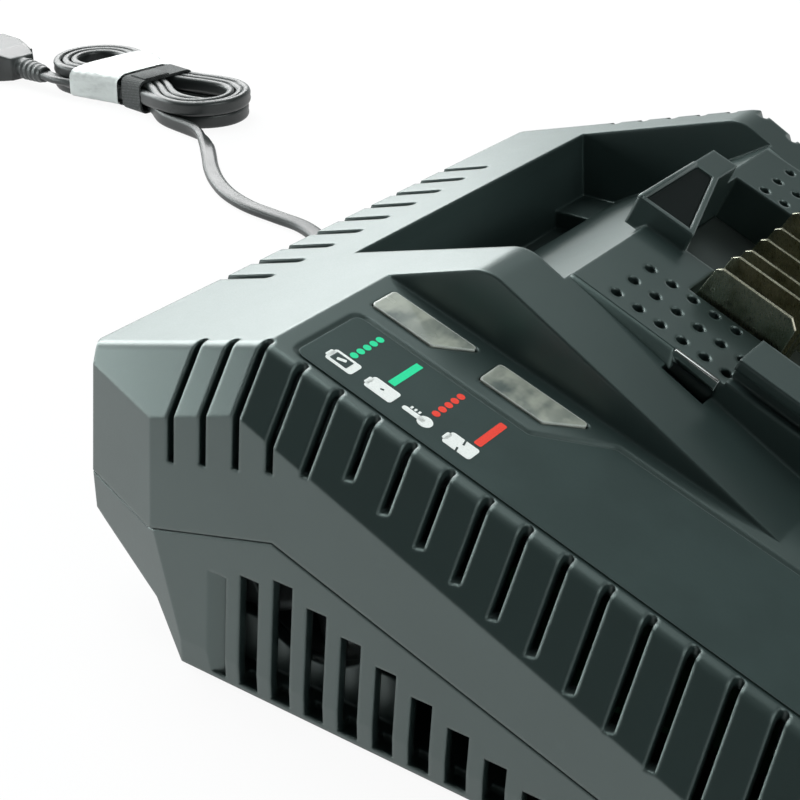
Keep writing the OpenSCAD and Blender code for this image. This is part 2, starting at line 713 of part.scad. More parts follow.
// Finned heat sinks
sink = [60, 10, 24];
fin_t = 1.4;
fin_n = 8;
sink_at = [[30, 34], [30, 95]];
module heat_sink(i) color([0.72, 0.73, 0.75]) on_board(sink_at[i][0], sink_at[i][1]) {
    cube([sink[0], 2.6, sink[2]]);
    for (k = [0 : fin_n - 1]) translate([k * (sink[0] - fin_t) / (fin_n - 1), 2, 0])
        cube([fin_t, sink[1] - 2, sink[2]]);
}
module front_heat_sink() heat_sink(0);
module rear_heat_sink() heat_sink(1);

// Flat power packages clamped to the heat sinks, each on three legs
transistor_n = 3;
module power_transistors() color([0.08, 0.08, 0.08]) for (i = [0, 1], k = [0 : transistor_n - 1])
    on_board(sink_at[i][0] + 5 + 19 * k, sink_at[i][1] - 4.6) {
        translate([0, 0, 5]) cube([10, 4.4, 10]);
        translate([0, 3.2, 5]) difference() {
            cube([10, 1.2, 16]);
            translate([5, -over, 13]) rotate([-90, 0, 0]) cylinder(d = 3.6, h = 4);
        }
        for (j = [0 : 2]) translate([1.8 + 2.54 * j, 2, 0]) cube([1, 0.8, 5.5]);
    }

module can(d, h) {
    cylinder(d = d, h = h - 1);
    translate([0, 0, h - 1]) cylinder(d1 = d, d2 = d - 2, h = 1, $fn = 48);
}
module bulk_capacitors() color([0.12, 0.13, 0.3]) for (k = [0, 1])
    on_board(11, 46 + 22 * k) can(18, 25);
module output_capacitors() color([0.12, 0.3, 0.2]) for (k = [0 : 2])
    on_board(98, 44 + 13 * k) can(10, 15);

// Toroidal choke standing on the board
choke = [24, 12, 9];
choke_at = [76, 66];
module choke_core() color([0.75, 0.72, 0.3]) on_board(choke_at[0], choke_at[1])
    translate([0, 0, 1.2]) difference() {
        cylinder(d = choke[0] - 2.4, h = choke[2] - 2.4);
        translate([0, 0, -over]) cylinder(d = choke[1] + 2.4, h = choke[2] + 2);
    }
module choke_winding() color([0.8, 0.45, 0.2]) on_board(choke_at[0], choke_at[1])
    difference() {
        for (k = [0 : 13]) rotate([0, 0, k * 360 / 14 + 8]) translate([choke[1] / 2 - 0.4, -1.1, 0])
            cube([(choke[0] - choke[1]) / 2 + 1.2, 2.2, choke[2]]);
        translate([0, 0, 1.15]) difference() {
            cylinder(d = choke[0] - 2.3, h = choke[2] - 2.3);
            translate([0, 0, -over]) cylinder(d = choke[1] + 2.3, h = choke[2] + 2);
        }
    }
module rectifier_bridge() color([0.07, 0.07, 0.07]) on_board(18, 20) {
    translate([0, 0, 4]) cube([22, 4, 16]);
    for (j = [0 : 3]) translate([2 + 5.6 * j, 1.5, 0]) cube([1.2, 1, 4.2]);
}
module mains_fuse() color([0.85, 0.83, 0.75]) on_board(14, 82) {
    translate([0, 0, 4]) rotate([-90, 0, 0]) cylinder(d = 5, h = 14);
    for (y = [-0.4, 11.2]) translate([-3.2, y, 0]) difference() {
        cube([6.4, 3.2, 7]);
        translate([3.2, -over, 4]) rotate([-90, 0, 0]) cylinder(d = 5, h = 6);
    }
}

// ---- fan ----
module fan_holes(d, rows) for (sx = [-1, 1], sz = rows)
    translate([sx * (fan_size / 2 - fan_hole_in), sz * (fan_size / 2 - fan_hole_in), -4])
        cylinder(d = d, h = fan_depth + 4 + over);
// Fan space: local z runs from the front of the fan to its back
module at_fan() translate([fan_x, fan_y0, fan_z]) rotate([-90, 0, 0]) children();
shaft_d = 2.4;
module fan_frame() color([0.1, 0.1, 0.11]) at_fan() {
    difference() {
        translate([-fan_size / 2, -fan_size / 2, 0]) cube([fan_size, fan_size, fan_depth]);
        translate([0, 0, -over]) cylinder(d = fan_bore, h = fan_depth + 2 * over);
        fan_holes(3.2, [-1, 1]);
    }
    difference() {
        union() {
            translate([0, 0, fan_depth - 2.4]) cylinder(d = fan_hub_d, h = 2.4);
            for (a = [45 : 90 : 315]) rotate([0, 0, a]) translate([0, -1.2, fan_depth - 2.4])
                cube([fan_bore / 2 + 0.8, 2.4, 2.4]);
            translate([0, 0, fan_depth - 8]) cylinder(d = 7, h = 8);
        }
        translate([0, 0, fan_depth - 9]) cylinder(d = shaft_d, h = 12);
    }
}
fan_blade_n = 7;
module fan_rotor() color([0.16, 0.16, 0.17]) at_fan() {
    difference() {
        cylinder(d = fan_hub_d, h = fan_depth - 3);
        translate([0, 0, 1.4]) cylinder(d = fan_hub_d - 2.4, h = fan_depth);
    }
    translate([0, 0, 0.8]) cylinder(d = shaft_d - 0.1, h = fan_depth - 1.2);
    intersection() {
        difference() {
            translate([0, 0, 1]) cylinder(d = fan_bore - 2 * fan_gap, h = fan_depth - 5);
            translate([0, 0, -over]) cylinder(d = fan_hub_d - 1, h = fan_depth);
        }
        for (k = [0 : fan_blade_n - 1]) rotate([0, 0, k * 360 / fan_blade_n])
            translate([0, 0, (fan_depth - 3) / 2]) rotate([38, 0, 0])
            translate([0, -9, -0.6]) cube([fan_bore, 18, 1.2]);
    }
}
module fan_screws() color([0.7, 0.7, 0.7]) at_fan() for (sx = [-1, 1])
    translate([sx * (fan_size / 2 - fan_hole_in), fan_hole_in - fan_size / 2, 0]) {
        translate([0, 0, -2.6]) cylinder(d = 2.9, h = fan_depth + 2.6);
        translate([0, 0, fan_depth]) cylinder(d = 5.4, h = 2);
    }
// Cradle of the lower shell that carries the fan
cradle_t = 2;
cradle_h = 6;
module fan_cradle() translate([fan_x - fan_size / 2, fan_y0, 0]) difference() {
    translate([-cradle_t, -3, 0])
        cube([fan_size + 2 * cradle_t, 3 + fan_depth * 0.6, fan_z - fan_size / 2 + cradle_h]);
    translate([-fit / 2, 0, fan_z - fan_size / 2])
        cube([fan_size + fit, fan_depth, fan_size]);
    translate([fan_size / 2, -4, fan_z]) rotate([-90, 0, 0]) cylinder(d = fan_bore, h = 8);
}

// ---- mains lead ----
clamp_x0 = x_l + 50;
clamp_l = 12;
clamp_w = 26;
clamp_screw_at = [[clamp_x0 + clamp_l / 2, gland_y - 9], [clamp_x0 + clamp_l / 2, gland_y + 9]];
module cord_clamp() color([0.2, 0.2, 0.2]) difference() {
    translate([clamp_x0, gland_y - clamp_w / 2 + 1, gland_z - lead_t / 2])
        cube([clamp_l, clamp_w - 2, lead_t + 3]);
    translate([clamp_x0 - over, gland_y - lead_w / 2, gland_z - lead_t / 2 - over])
        cube([clamp_l + 2 * over, lead_w, lead_t + over]);
    for (p = clamp_screw_at) translate([p[0], p[1], 0]) cylinder(d = board_screw_d + 0.6, h = tall);
}
module clamp_screws() color([0.75, 0.75, 0.72]) for (p = clamp_screw_at)
    translate([p[0], p[1], 0]) {
        translate([0, 0, gland_z - 5]) cylinder(d = board_screw_d - 0.1, h = 5 + lead_t / 2 + 3);
        translate([0, 0, gland_z + lead_t / 2 + 3]) cylinder(d = board_screw_d * 2, h = 1.6);
    }
// Passage for the lead and the seat for the collar of its strain relief
module relief_passage() translate([0, gland_y, gland_z]) {
    translate([gland_x - 20, 0, 0]) rotate([0, 90, 0]) cylinder(d = relief_d0 + fit, h = 60);
    translate([gland_x, 0, 0]) rotate([0, 90, 0]) cylinder(d = relief_flange_d + fit, h = relief_flange_t + over);
}
relief_drop = 3;
relief_root = 6;
module strain_relief() color([0.07, 0.07, 0.07]) difference() {
    translate([gland_x, gland_y, gland_z]) {
        rotate([0, 90, 0]) cylinder(d = relief_flange_d, h = relief_flange_t);
        rotate([0, -90, 0]) cylinder(d = relief_d0, h = relief_root);
        translate([-relief_root, 0, 0]) rotate([0, -90, 0])
            rotate([0, -atan(relief_drop / (relief_l - relief_root)), 0]) translate([0, 0, -0.3])
            cylinder(d1 = relief_d0 - 0.4, d2 = relief_d1 - 0.6, h = relief_l - relief_root);
    }
    translate([gland_x - 4, gland_y - lead_w / 2, gland_z - lead_t / 2])
        cube([30, lead_w, lead_t]);
}
// Stretch of the lead between the strain relief and the main board
module inner_lead() color([0.09, 0.09, 0.09])
    translate([gland_x - 4, gland_y - lead_w / 2, gland_z - lead_t / 2])
    cube([clamp_x0 + clamp_l + 8 - gland_x, lead_w, lead_t]);

// Route of the lead's middle line on the supporting surface, from the overhanging end
lead_route = [for (q = [
    [5, 0, 4.4], [-8, 1, 2.6], [-21, 4, 1.8], [-36, 11, 1.8],
    [-50, 23, 1.8], [-64, 37, 1.8], [-78, 49, 1.8], [-92, 56, 1.8],
    [-106, 58, 1.8], [-120, 60, 1.8], [-134, 65, 1.8], [-147, 73, 1.8],
    [-159, 83, 1.8], [-170, 94, 1.8], [-179, 102.5, 1.8], [-188, 109.5, 1.8],
    [-194.2, 116.2, 1.8]]) q + [x_l, gland_y, 0]];
function tangent(p, i) = unit(p[min(i + 1, len(p) - 1)] - p[max(i - 1, 0)]);
function lead_ring(c, t) = let (s = unit([-t[1], t[0], 0]), n = cross(t, s))
    [for (k = [0 : 7]) c + s * (lead_w / 2) * cos(45 * k + 22.5) / cos(22.5)
        + n * (lead_t / 2) * sin(45 * k + 22.5) / sin(67.5)];
module sweep_lead(route) {
    rings = [for (i = [0 : len(route) - 1]) lead_ring(route[i], tangent(route, i))];
    m = len(route);
    polyhedron(points = [for (r = rings) each r], faces = concat(
        [[for (k = [0 : 7]) k]],
        [[for (k = [7 : -1 : 0]) (m - 1) * 8 + k]],
        [for (i = [0 : m - 2], k = [0 : 7])
            [i * 8 + k, (i + 1) * 8 + k, (i + 1) * 8 + (k + 1) % 8, i * 8 + (k + 1) % 8]]));
}
module mains_cord() color([0.08, 0.08, 0.08]) sweep_lead(lead_route);

// Folded hank of the stored length: two loops pinched together by the tie, and
// the last strand, which leaves its front side for the plug
hank_t = 12.6;
hank_at = [x_l - 242, gland_y + 137];
hank_turn = -8;
module at_hank() translate([hank_at[0], hank_at[1], 0]) rotate([0, 0, hank_turn]) children();
loop_x = 35.2;
loop_r = 20.6;
loop_hole_r = 9.2;
// Level of the straight strands beside a loop, just inside its outer side
strand_r = loop_r - 0.4;
tie_x = 8;
tie_l = 12;
waist_y0 = -15.6;
waist_y1 = 11.8;
plug_run_y = -22.6;
plug_run_end = -45;
// Smooth change from 0 to 1, for the strands between the waist and a loop
function ease(u) = let (v = min(1, max(0, u))) v * v * (3 - 2 * v);
function strand_y(x, mid_y, loop_y) = mid_y + (loop_y - mid_y) * ease((abs(x - tie_x) - tie_l / 2) / 22);
hank_steps = [2, 14, 18, 22, 26, 30, 34];
hank_back = [34, 30, 26, 22, 18, 14, 2, -2, -6, -10, -14, -18, -22, -26];
module cord_hank() color([0.09, 0.09, 0.09]) at_hank() linear_extrude(hank_t) difference() {
    union() {
        for (s = [-1, 1]) translate([s * loop_x, 0]) circle(r = loop_r);
        polygon(concat([[plug_run_end, plug_run_y - lead_t / 2], [plug_run_end + 8, plug_run_y - lead_t / 2],
            [-18, -22], [-3, -17.5]],
            [for (x = hank_steps) [x, strand_y(x, waist_y0, -strand_r)]],
            [[loop_x, -strand_r], [loop_x, strand_r]],
            [for (x = hank_back) [x, strand_y(x, waist_y1, strand_r)]],
            [[-loop_x, strand_r], [-loop_x, -12], [plug_run_end + 6, 3 - loop_r],
            [plug_run_end, plug_run_y + lead_t / 2]]));
    }
    for (s = [-1, 1]) {
        translate([s * loop_x, 0]) circle(r = loop_hole_r);
        polygon([[s * loop_x, -loop_hole_r], [s * loop_x, loop_hole_r],
            [s * 22 + 2, 4], [s * 14 + 3, -1.6], [s * 22 + 2, -5]]);
    }
}
tie_t = 1;
module cord_tie() color([0.05, 0.05, 0.05]) at_hank() translate([tie_x - tie_l / 2, 0, 0])
    difference() {
        translate([0, waist_y0 - tie_t, 0]) cube([tie_l, waist_y1 - waist_y0 + 2 * tie_t, hank_t + tie_t]);
        translate([-over, waist_y0, -over]) cube([tie_l + 2 * over, waist_y1 - waist_y0, hank_t + over]);
    }
// Flat two-pin plug: its cable end meets the hank and its pins point away
plug_l = 34;
plug_w = 26;
plug_t = 13.6;
plug_nose_l = 18;
pin_d = 4;
pin_l = 19;
pin_pitch = 18.6;
module at_plug() at_hank() translate([plug_run_end, plug_run_y, plug_t / 2]) rotate([0, 0, 180]) children();
module plug_body() color([0.07, 0.07, 0.07]) at_plug() difference() {
    union() {
        rotate([0, 90, 0]) cylinder(d1 = lead_w + 1, d2 = 9, h = plug_nose_l);
        intersection() {
            translate([plug_nose_l - over, 0, -plug_t / 2]) linear_extrude(plug_t) polygon([
                [0, -6], [6, -8.5], [plug_l * 0.6, -plug_w / 2], [plug_l, -plug_w / 2],
                [plug_l, plug_w / 2], [plug_l * 0.6, plug_w / 2], [6, 8.5], [0, 6]]);
            translate([plug_nose_l - 2, plug_w, 0]) rotate([90, 0, 0]) linear_extrude(2 * plug_w)
                polygon([[0, -4.8], [12, -plug_t / 2], [plug_l + 2, -plug_t / 2],
                    [plug_l + 2, plug_t / 2], [12, plug_t / 2], [0, 4.8]]);
        }
    }
    for (s = [-1, 1]) translate([plug_nose_l + plug_l - over - 8, s * pin_pitch / 2, 0])
        rotate([0, 90, 0]) cylinder(d = pin_d, h = 12);
}
module plug_pins() color([0.8, 0.8, 0.8]) at_plug() for (s = [-1, 1])
    translate([plug_nose_l + plug_l - over - 8, s * pin_pitch / 2, 0]) rotate([0, 90, 0]) {
        cylinder(d = pin_d, h = 8 + pin_l - 1);
        translate([0, 0, 7 + pin_l]) cylinder(d1 = pin_d, d2 = pin_d - 1.6, h = 1);
    }

module housing_screws() color([0.7, 0.7, 0.7]) for (i = [0 : len(screw_at) - 1]) column_at(i) {
    translate([0, 0, base_z + 1]) difference() {
        cylinder(d = head_d, h = head_depth - 1);
        translate([0, 0, -over]) cylinder(d = 2.6, h = 2.4 + over, $fn = 6);
    }
    translate([0, 0, base_z + head_depth - 0.5])
        cylinder(d = screw_d - 0.1, h = column_split[i] + screw_grip - base_z - head_depth);
}

upper_housing();
lower_housing();
label_panel();
light_window_1();
light_window_2();
hood_cover();
status_board();
status_leds();
contact_carrier();
power_blades();
signal_blades();
main_board();
transformer_core();
transformer_winding();
front_heat_sink();
rear_heat_sink();
power_transistors();
bulk_capacitors();
output_capacitors();
choke_core();
choke_winding();
rectifier_bridge();
mains_fuse();
fan_frame();
fan_rotor();
fan_screws();
cord_clamp();
clamp_screws();
strain_relief();
inner_lead();
mains_cord();
cord_hank();
cord_tie();
plug_body();
plug_pins();
housing_screws();
board_screws();
rubber_feet();
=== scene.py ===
"""Looks of a slide-on battery charger: finishes, printed marks, lens windows, lead, hank and plug."""

import json
import logging
import math
from dataclasses import dataclass, field
from enum import Enum
from typing import Callable, Dict, List, Optional, Sequence, Tuple, Union

import bpy
import numpy as np
from mathutils import Matrix, Vector

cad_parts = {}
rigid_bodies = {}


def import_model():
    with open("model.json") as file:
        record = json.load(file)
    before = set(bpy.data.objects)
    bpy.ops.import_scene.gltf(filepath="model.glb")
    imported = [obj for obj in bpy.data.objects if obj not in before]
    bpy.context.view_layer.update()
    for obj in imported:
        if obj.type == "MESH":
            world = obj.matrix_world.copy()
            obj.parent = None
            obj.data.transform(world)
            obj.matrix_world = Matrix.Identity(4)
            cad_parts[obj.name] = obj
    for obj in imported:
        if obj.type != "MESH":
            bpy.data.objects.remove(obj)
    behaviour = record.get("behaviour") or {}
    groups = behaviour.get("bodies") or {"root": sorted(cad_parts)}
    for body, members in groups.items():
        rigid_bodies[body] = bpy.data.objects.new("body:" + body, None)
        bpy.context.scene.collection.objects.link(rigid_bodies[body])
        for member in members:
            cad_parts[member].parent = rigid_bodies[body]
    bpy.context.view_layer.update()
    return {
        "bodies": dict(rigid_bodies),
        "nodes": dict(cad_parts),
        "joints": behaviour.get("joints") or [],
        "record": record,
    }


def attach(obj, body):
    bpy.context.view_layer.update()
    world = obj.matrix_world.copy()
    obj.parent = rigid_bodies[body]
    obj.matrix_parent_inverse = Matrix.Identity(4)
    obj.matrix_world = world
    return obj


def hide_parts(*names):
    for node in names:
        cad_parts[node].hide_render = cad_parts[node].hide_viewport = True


LOG = logging.getLogger("charger")
MM = 0.001
COOL = (0.93, 1.0, 0.99)
Colour = Tuple[float, float, float]
Point = Tuple[float, float, float]
Number = Union[float, "Socket"]


# ---------------------------------------------------------------- shader graphs

class Socket:
    """One output of a shader node, on which arithmetic adds Math nodes."""

    def __init__(self, graph: "Graph", link: bpy.types.NodeSocket) -> None:
        """Keeps the graph and the output.

        Args:
            graph: the graph that new nodes go to.
            link: the output that this object stands for.
        """
        self.graph = graph
        self.link = link

    def _math(self, operation: str, first: Number, second: Number = 0.0, clamp: bool = False) -> "Socket":
        """Adds one Math node.

        Args:
            operation: Blender's name of the operation.
            first: left value.
            second: right value.
            clamp: whether the result is held within 0 and 1.

        Returns:
            The node's output.
        """
        settings = {"operation": operation, "use_clamp": clamp}
        return self.graph.node("ShaderNodeMath", settings, {0: first, 1: second})

    def __add__(self, other: Number) -> "Socket":
        """Sum."""
        return self._math("ADD", self, other)

    def __radd__(self, other: Number) -> "Socket":
        """Sum with a number on the left."""
        return self._math("ADD", other, self)

    def __sub__(self, other: Number) -> "Socket":
        """Difference."""
        return self._math("SUBTRACT", self, other)

    def __rsub__(self, other: Number) -> "Socket":
        """Difference with a number on the left."""
        return self._math("SUBTRACT", other, self)

    def __mul__(self, other: Number) -> "Socket":
        """Product."""
        return self._math("MULTIPLY", self, other)

    def __rmul__(self, other: Number) -> "Socket":
        """Product with a number on the left."""
        return self._math("MULTIPLY", other, self)

    def sine(self) -> "Socket":
        """Sine of the value, in radians."""
        return self._math("SINE", self)

    def above(self, limit: float) -> "Socket":
        """1 where the value is over the limit, else 0."""
        return self._math("GREATER_THAN", self, limit)

    def clamped(self) -> "Socket":
        """The value held within 0 and 1."""
        return self._math("ADD", self, 0.0, clamp=True)

    def ramp(self, low: float, high: float) -> "Socket":
        """A smooth step from 0 to 1.

        Args:
            low: value that gives 0.
            high: value that gives 1.

        Returns:
            The stepped value.
        """
        return self.graph.node("ShaderNodeMapRange", {"interpolation_type": "SMOOTHSTEP", "clamp": True}, {
            "Value": self, "From Min": low, "From Max": high})


class Graph:
    """Nodes of one material or world."""

    def __init__(self, tree: bpy.types.NodeTree) -> None:
        """Empties the tree.

        Args:
            tree: the node tree to fill.
        """
        self.tree = tree
        tree.nodes.clear()
        self._object: Optional[Socket] = None

    def node(self, kind: str, settings: Optional[Dict[str, object]] = None,
             values: Optional[Dict[Union[int, str], object]] = None, output: Union[int, str] = 0) -> Socket:
        """Adds one node.

        Args:
            kind: Blender's name of the node type.
            settings: attributes of the node, which are set first.
            values: values or links of its sockets, by number or name.
            output: which output to return.

        Returns:
            The chosen output.
        """
        made = self.tree.nodes.new(kind)
        for name, value in (settings or {}).items():
            setattr(made, name, value)
        for name, value in (values or {}).items():
            socket = made.inputs[name]
            if isinstance(value, Socket):
                self.tree.links.new(value.link, socket)
            elif isinstance(value, tuple) and len(value) == 3 and socket.type == "RGBA":
                socket.default_value = (*value, 1.0)
            else:
                socket.default_value = value
        return Socket(self, made.outputs[output] if made.outputs else None)

    def place(self) -> Socket:
        """Object coordinates, shared by the whole graph."""
        if self._object is None:
            self._object = self.node("ShaderNodeTexCoord", output="Object")
        return self._object

    def turned(self, scale: Point = (1, 1, 1), rotation: Point = (0, 0, 0)) -> Socket:
        """Object coordinates after a Mapping node.

        Args:
            scale: factors along the axes.
            rotation: turns about the axes, in degrees.

        Returns:
            The mapped coordinates.
        """
        return self.node("ShaderNodeMapping", None, {
            "Vector": self.place(), "Scale": scale, "Rotation": tuple(math.radians(a) for a in rotation)})

    def noise(self, scale: float, detail: float = 3.0, rough: float = 0.55,
              vector: Optional[Socket] = None) -> Socket:
        """A noise value from 0 to 1.

        Args:
            scale: number of cells in a metre.
            detail: octaves.
            rough: share of the finer octaves.
            vector: coordinates, or None for the object's own.

        Returns:
            The noise value.
        """
        return self.node("ShaderNodeTexNoise", None, {
            "Vector": vector or self.place(), "Scale": scale, "Detail": detail, "Roughness": rough})

    def cells(self, scale: float, vector: Socket) -> Socket:
        """Softened distance to the nearest centre in a pattern of cells.

        Args:
            scale: number of cells in a metre.
            vector: coordinates.

        Returns:
            The distance.
        """
        return self.node("ShaderNodeTexVoronoi", {"feature": "SMOOTH_F1"}, {"Vector": vector, "Scale": scale},
                         "Distance")

    def blend(self, first: Union[Colour, Socket], second: Union[Colour, Socket], share: Number) -> Socket:
        """Mixes two colours.

        Args:
            first: colour at share 0.
            second: colour at share 1.
            share: factor.

        Returns:
            The mixed colour.
        """
        return self.node("ShaderNodeMix", {"data_type": "RGBA", "clamp_factor": True}, {
            0: share, 6: first, 7: second}, 2)

    def axis(self, vector: Socket, name: str) -> Socket:
        """One coordinate of a vector, named X, Y or Z."""
        return self.node("ShaderNodeSeparateXYZ", None, {0: vector}, name)

    def rounded_normal(self, radius: float) -> Socket:
        """Normal that rounds edges within a radius in metres."""
        return self.node("ShaderNodeBevel", {"samples": 6}, {"Radius": radius})

    def rays(self, *kinds: str) -> Socket:
        """Mask that is 1 for rays of the kinds that Blender calls so, and 0 for others."""
        found = [self.node("ShaderNodeLightPath", output=f"Is {kind} Ray") for kind in kinds]
        return sum(found[1:], found[0]).clamped()

    def bump(self, height: Number, distance: float, strength: float,
             normal: Optional[Socket] = None) -> Socket:
        """Bumps the surface.

        Args:
            height: height from 0 to 1.
            distance: metres of a whole step in height.
            strength: share of the effect.
            normal: normal to start from.

        Returns:
            The bumped normal.
        """
        values: Dict[Union[int, str], object] = {"Height": height, "Distance": distance, "Strength": strength}
        if normal is not None:
            values["Normal"] = normal
        return self.node("ShaderNodeBump", None, values)

    def edges(self, normal: Socket, gain: float = 6.0) -> Socket:
        """Mask of the edges, where a rounded normal turns away from the face.

        Args:
            normal: the rounded normal.
            gain: steepness of the mask.

        Returns:
            1 on edges and 0 on flats.
        """
        true = self.node("ShaderNodeNewGeometry", output="True Normal")
        dot = self.node("ShaderNodeVectorMath", {"operation": "DOT_PRODUCT"}, {0: normal, 1: true}, "Value")
        return ((1.0 - dot) * gain).clamped()

    def surface(self, values: Dict[Union[int, str], object]) -> Socket:
        """A Principled shader with the given values or links of its sockets."""
        return self.node("ShaderNodeBsdfPrincipled", None, values)

    def close(self, shader: Socket, kind: str = "ShaderNodeOutputMaterial") -> None:
        """Connects a shader to the output.

        Args:
            shader: the shader.
            kind: output node's type.
        """
        self.node(kind, None, {"Surface": shader})


class Finish:
    """A finish that builds one material."""

    def paint(self, graph: Graph) -> Socket:
        """Builds the shader in a graph and returns it."""
        raise NotImplementedError

    def material(self, name: str) -> bpy.types.Material:
        """Builds the material.

        Args:
            name: the material's name.

        Returns:
            The new material.
        """
        made = bpy.data.materials.new(name)
        made.use_nodes = True
        graph = Graph(made.node_tree)
        graph.close(self.paint(graph))
        return made


@dataclass(frozen=True)
class MouldedPlastic(Finish):
    """Dark moulded plastic with a fine eroded grain, rubbed edges and faint handling marks."""

    colour: Colour = (0.022, 0.035, 0.0335)
    rubbed: Colour = (0.085, 0.12, 0.115)
    roughness: float = 0.36
    grain: float = 2600.0
    grain_depth: float = 0.00003
    edge: float = 0.0011
    sheen_spread: float = 0.1
    ior: float = 1.9
    sheen: Colour = (0.84, 1.0, 0.97)

    def paint(self, graph: Graph) -> Socket:
        """Builds the shader in a graph and returns it."""
        fine = graph.noise(self.grain, 2.0, 0.6)
        broad = graph.noise(38.0, 4.0, 0.55)
        marks = graph.noise(220.0, 3.0, 0.7, graph.turned((1, 0.25, 1), (0, 20, 12)))
        smooth = graph.rounded_normal(self.edge)
        edge = graph.edges(smooth) * broad.ramp(0.35, 0.6)
        tint = graph.blend(self.colour, tuple(c * 0.84 for c in self.colour), broad.ramp(0.35, 0.7))
        tint = graph.blend(tint, tuple(c * 1.12 for c in self.colour), marks.ramp(0.58, 0.78) * 0.6)
        tint = graph.blend(tint, self.rubbed, edge * 0.45)
        rough = self.roughness + (fine - 0.5) * 0.1 + (broad - 0.5) * self.sheen_spread - edge * 0.08
        return graph.surface({
            "Base Color": tint, "Roughness": rough.clamped(), "IOR": self.ior,
            "Specular Tint": (*self.sheen, 1.0),
            "Normal": graph.bump(fine, self.grain_depth, 0.55, smooth)})


@dataclass(frozen=True)
class LabelFilm(Finish):
    """Matt printed film with a faint orange-peel surface and a painted highlight along its edges."""

    colour: Colour = (0.027, 0.040, 0.039)
    roughness: float = 0.5

    def paint(self, graph: Graph) -> Socket:
        """Builds the shader in a graph and returns it."""
        peel = graph.noise(1500.0, 2.0, 0.5)
        cloud = graph.noise(60.0, 3.0)
        smooth = graph.rounded_normal(0.0004)
        edge = graph.edges(smooth)
        tint = graph.blend(self.colour, tuple(c * 1.18 for c in self.colour), cloud.ramp(0.4, 0.65))
        # painted highlight: the film's edges are lightened in colour
        tint = graph.blend(tint, (0.16, 0.18, 0.175), edge * 0.6)
        return graph.surface({
            "Base Color": tint, "Roughness": self.roughness + (peel - 0.5) * 0.12, "IOR": 1.4,
            "Specular Tint": (0.75, 1.0, 0.96, 1.0),
            "Normal": graph.bump(peel, 0.00002, 0.4, smooth)})


@dataclass(frozen=True)
class Ink(Finish):
    """Screen-printed ink with slight unevenness."""

    colour: Colour = (0.9, 0.9, 0.88)

    def paint(self, graph: Graph) -> Socket:
        """Builds the shader in a graph and returns it."""
        mesh = graph.noise(3200.0, 2.0, 0.5)
        tint = graph.blend(self.colour, tuple(c * 0.9 for c in self.colour), mesh.ramp(0.45, 0.75))
        return graph.surface({
            "Base Color": tint, "Roughness": 0.5 + mesh * 0.1, "IOR": 1.35,
            "Normal": graph.bump(mesh, 0.00001, 0.3)})


@dataclass(frozen=True)
class LensPlastic(Finish):
    """Clear moulded plastic with a hammered inside, with painted shade in darker patches and bands and a
    painted highlight on its edges.
    """

    colour: Colour = (0.56, 0.58, 0.5)
    depth: Colour = (0.14, 0.17, 0.165)
    rim: Colour = (0.85, 0.88, 0.83)
    lean: float = 19.2

    def paint(self, graph: Graph) -> Socket:
        """Builds the shader in a graph and returns it."""
        along = graph.turned((1, 1, 1), (0, self.lean, 0))
        lump = graph.noise(150.0, 3.0, 0.55, along)
        cell = graph.cells(300.0, along)
        pipes = (graph.axis(along, "X") * 1150.0 + lump * 5.0).sine() * 0.5 + 0.5
        streak = graph.noise(190.0, 2.0, 0.5, graph.turned((1.4, 0.5, 1), (0, self.lean, 0)))
        smooth = graph.rounded_normal(0.0008)
        edge = graph.edges(smooth, 9.0)
        # painted shade: lumps, streaks and pipe-like bands darken the lens colour
        shade = lump.ramp(0.42, 0.66) * 0.4 + streak.ramp(0.45, 0.65) * 0.35 + pipes * 0.22
        tint = graph.blend(self.colour, self.depth, shade.clamped())
        # painted highlight: the lens edges are lightened nearly to white
        tint = graph.blend(tint, self.rim, edge)
        return graph.surface({
            "Base Color": tint, "Roughness": 0.12 + cell * 0.22, "IOR": 1.49,
            "Transmission Weight": 0.25, "Coat Weight": 0.5, "Coat Roughness": 0.06,
            "Normal": graph.bump(lump + cell * 0.6, 0.0002, 0.65, smooth)})


@dataclass(frozen=True)
class SheetMetal(Finish):
    """Stamped or drawn metal with rolling marks, and a painted highlight on its edges."""

    colour: Colour = (0.62, 0.58, 0.44)
    dull: Colour = (0.4, 0.37, 0.27)
    roughness: float = 0.28
    rolled: Point = (8.0, 1.0, 1.0)

    def paint(self, graph: Graph) -> Socket:
        """Builds the shader in a graph and returns it."""
        lines = graph.noise(900.0, 3.0, 0.6, graph.turned(self.rolled))
        stain = graph.noise(160.0, 3.0, 0.6)
        smooth = graph.rounded_normal(0.00022)
        edge = graph.edges(smooth, 9.0)
        tint = graph.blend(self.colour, self.dull, stain.ramp(0.42, 0.68))
        # painted highlight: the edges are lightened in colour
        tint = graph.blend(tint, tuple(min(1.0, c * 1.5) for c in self.colour), edge)
        rough = self.roughness + (lines - 0.5) * 0.2 - edge * 0.1
        return graph.surface({
            "Base Color": tint, "Metallic": 1.0, "Roughness": rough.clamped(),
            "Normal": graph.bump(lines, 0.00001, 0.35, smooth)})


@dataclass(frozen=True)
class Rubber(Finish):
    """Soft dark rubber or vinyl with fine pitting and pale handling bloom."""

    colour: Colour = (0.022, 0.026, 0.026)
    bloom: Colour = (0.06, 0.068, 0.068)
    roughness: float = 0.46
    pit: float = 1800.0

    def paint(self, graph: Graph) -> Socket:
        """Builds the shader in a graph and returns it."""
        pits = graph.noise(self.pit, 3.0, 0.6)
        haze = graph.noise(45.0, 3.0, 0.6)
        tint = graph.blend(self.colour, self.bloom, haze.ramp(0.45, 0.75) * 0.7)
        return graph.surface({
            "Base Color": tint, "Roughness": self.roughness + (haze - 0.5) * 0.16, "IOR": 1.5,
            "Normal": graph.bump(pits, 0.00003, 0.5)})


